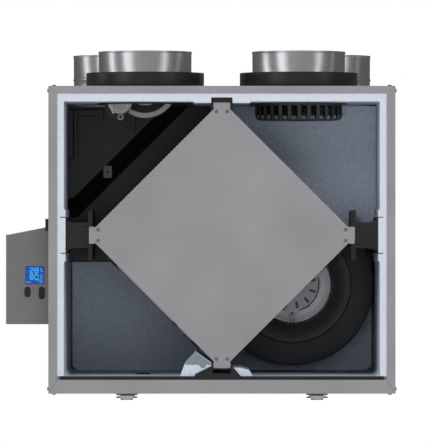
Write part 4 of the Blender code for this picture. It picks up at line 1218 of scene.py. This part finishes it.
def build_world(scene):
    """White to the camera. To the object it is grey, with brighter bands at a few bearings."""
    world = bpy.data.worlds.new("studio")
    world.use_nodes = True
    world.node_tree.nodes.clear()
    scene.world = world
    place = add_node(world, "ShaderNodeTexCoord")
    split = add_node(world, "ShaderNodeSeparateXYZ")
    connect(world, place.outputs["Generated"], split.inputs["Vector"])
    forward = add_node(world, "ShaderNodeMath", operation="MULTIPLY")
    forward.inputs[1].default_value = -1.0
    connect(world, split.outputs["Y"], forward.inputs[0])
    bearing = add_node(world, "ShaderNodeMath", operation="ARCTAN2")
    connect(world, split.outputs["X"], bearing.inputs[0])
    connect(world, forward.outputs["Value"], bearing.inputs[1])
    share = add_node(world, "ShaderNodeMapRange", **{"From Min": -math.pi, "From Max": math.pi})
    connect(world, bearing.outputs["Value"], share.inputs["Value"])
    ramp = add_node(world, "ShaderNodeValToRGB")
    set_bands(ramp.color_ramp.elements)
    connect(world, share.outputs["Result"], ramp.inputs["Fac"])
    to_object = add_node(world, "ShaderNodeBackground")
    connect(world, ramp.outputs["Color"], to_object.inputs["Color"])
    to_camera = add_node(world, "ShaderNodeBackground", Color=(1.0, 1.0, 1.0, 1.0))
    ray = add_node(world, "ShaderNodeLightPath")
    mix = add_node(world, "ShaderNodeMixShader")
    connect(world, ray.outputs["Is Camera Ray"], mix.inputs["Fac"])
    connect(world, to_object.outputs["Background"], mix.inputs[1])
    connect(world, to_camera.outputs["Background"], mix.inputs[2])
    out = add_node(world, "ShaderNodeOutputWorld")
    connect(world, mix.outputs["Shader"], out.inputs["Surface"])


def set_bands(elements):
    """Light level by bearing, in degrees from the camera's side. The narrow peaks streak the collars."""
    bands = [
        (-180, 0.1), (-128, 0.13), (-106, 0.24), (-92, 1.3), (-78, 0.24), (-60, 0.25),
        (-50, 1.2), (-38, 1.0), (-26, 0.34), (0, 0.3), (38, 0.28), (52, 0.95),
        (64, 0.22), (84, 0.14), (92, 0.3), (104, 0.12), (128, 0.12), (180, 0.1),
    ]
    for _ in bands[2:]:
        elements.new(0.5)
    for element, (degrees, level) in zip(elements, bands):
        element.position = (degrees + 180) / 360
        element.color = (level * 0.88, level * 0.89, level * 0.91, 1.0)


def aim_at(holder, place, target):
    """Put a lamp or a camera at a place, its own -Z pointed at the target, and link it."""
    holder.location = place
    holder.rotation_mode = "QUATERNION"
    holder.rotation_quaternion = (Vector(target) - Vector(place)).to_track_quat("-Z", "Y")
    bpy.context.scene.collection.objects.link(holder)


def add_lamp(name, place, size, power):
    """A square area lamp, aimed at the middle of the open front, with no reflection of its own."""
    lamp = bpy.data.lights.new(name, "AREA")
    lamp.size = size
    lamp.energy = power
    holder = bpy.data.objects.new(name, lamp)
    holder.visible_glossy = False
    aim_at(holder, place, (0.0, FRONT, 0.0))


def build_camera(scene):
    """A long lens from far away, a little to the right of what it aims at and below it."""
    away = 9.0
    data = bpy.data.cameras.new("camera")
    data.lens = 449.4
    data.clip_start, data.clip_end = 0.5, 60.0
    camera = bpy.data.objects.new("camera", data)
    aim_at(camera, (0.0, FRONT - away, -0.002), (-0.0096, FRONT, 0.0297))
    scene.camera = camera
    scene.view_settings.view_transform = "Standard"


dress_frame()
build_casing_details()
build_door_seal()
build_guide_details()
build_core_details()
build_partition_details()
build_blower()
build_collars()
build_outer_rings()
build_guard()
build_exhaust_fan()
build_damper()
build_control_box()
build_latches()
build_wall_details()
build_stage()
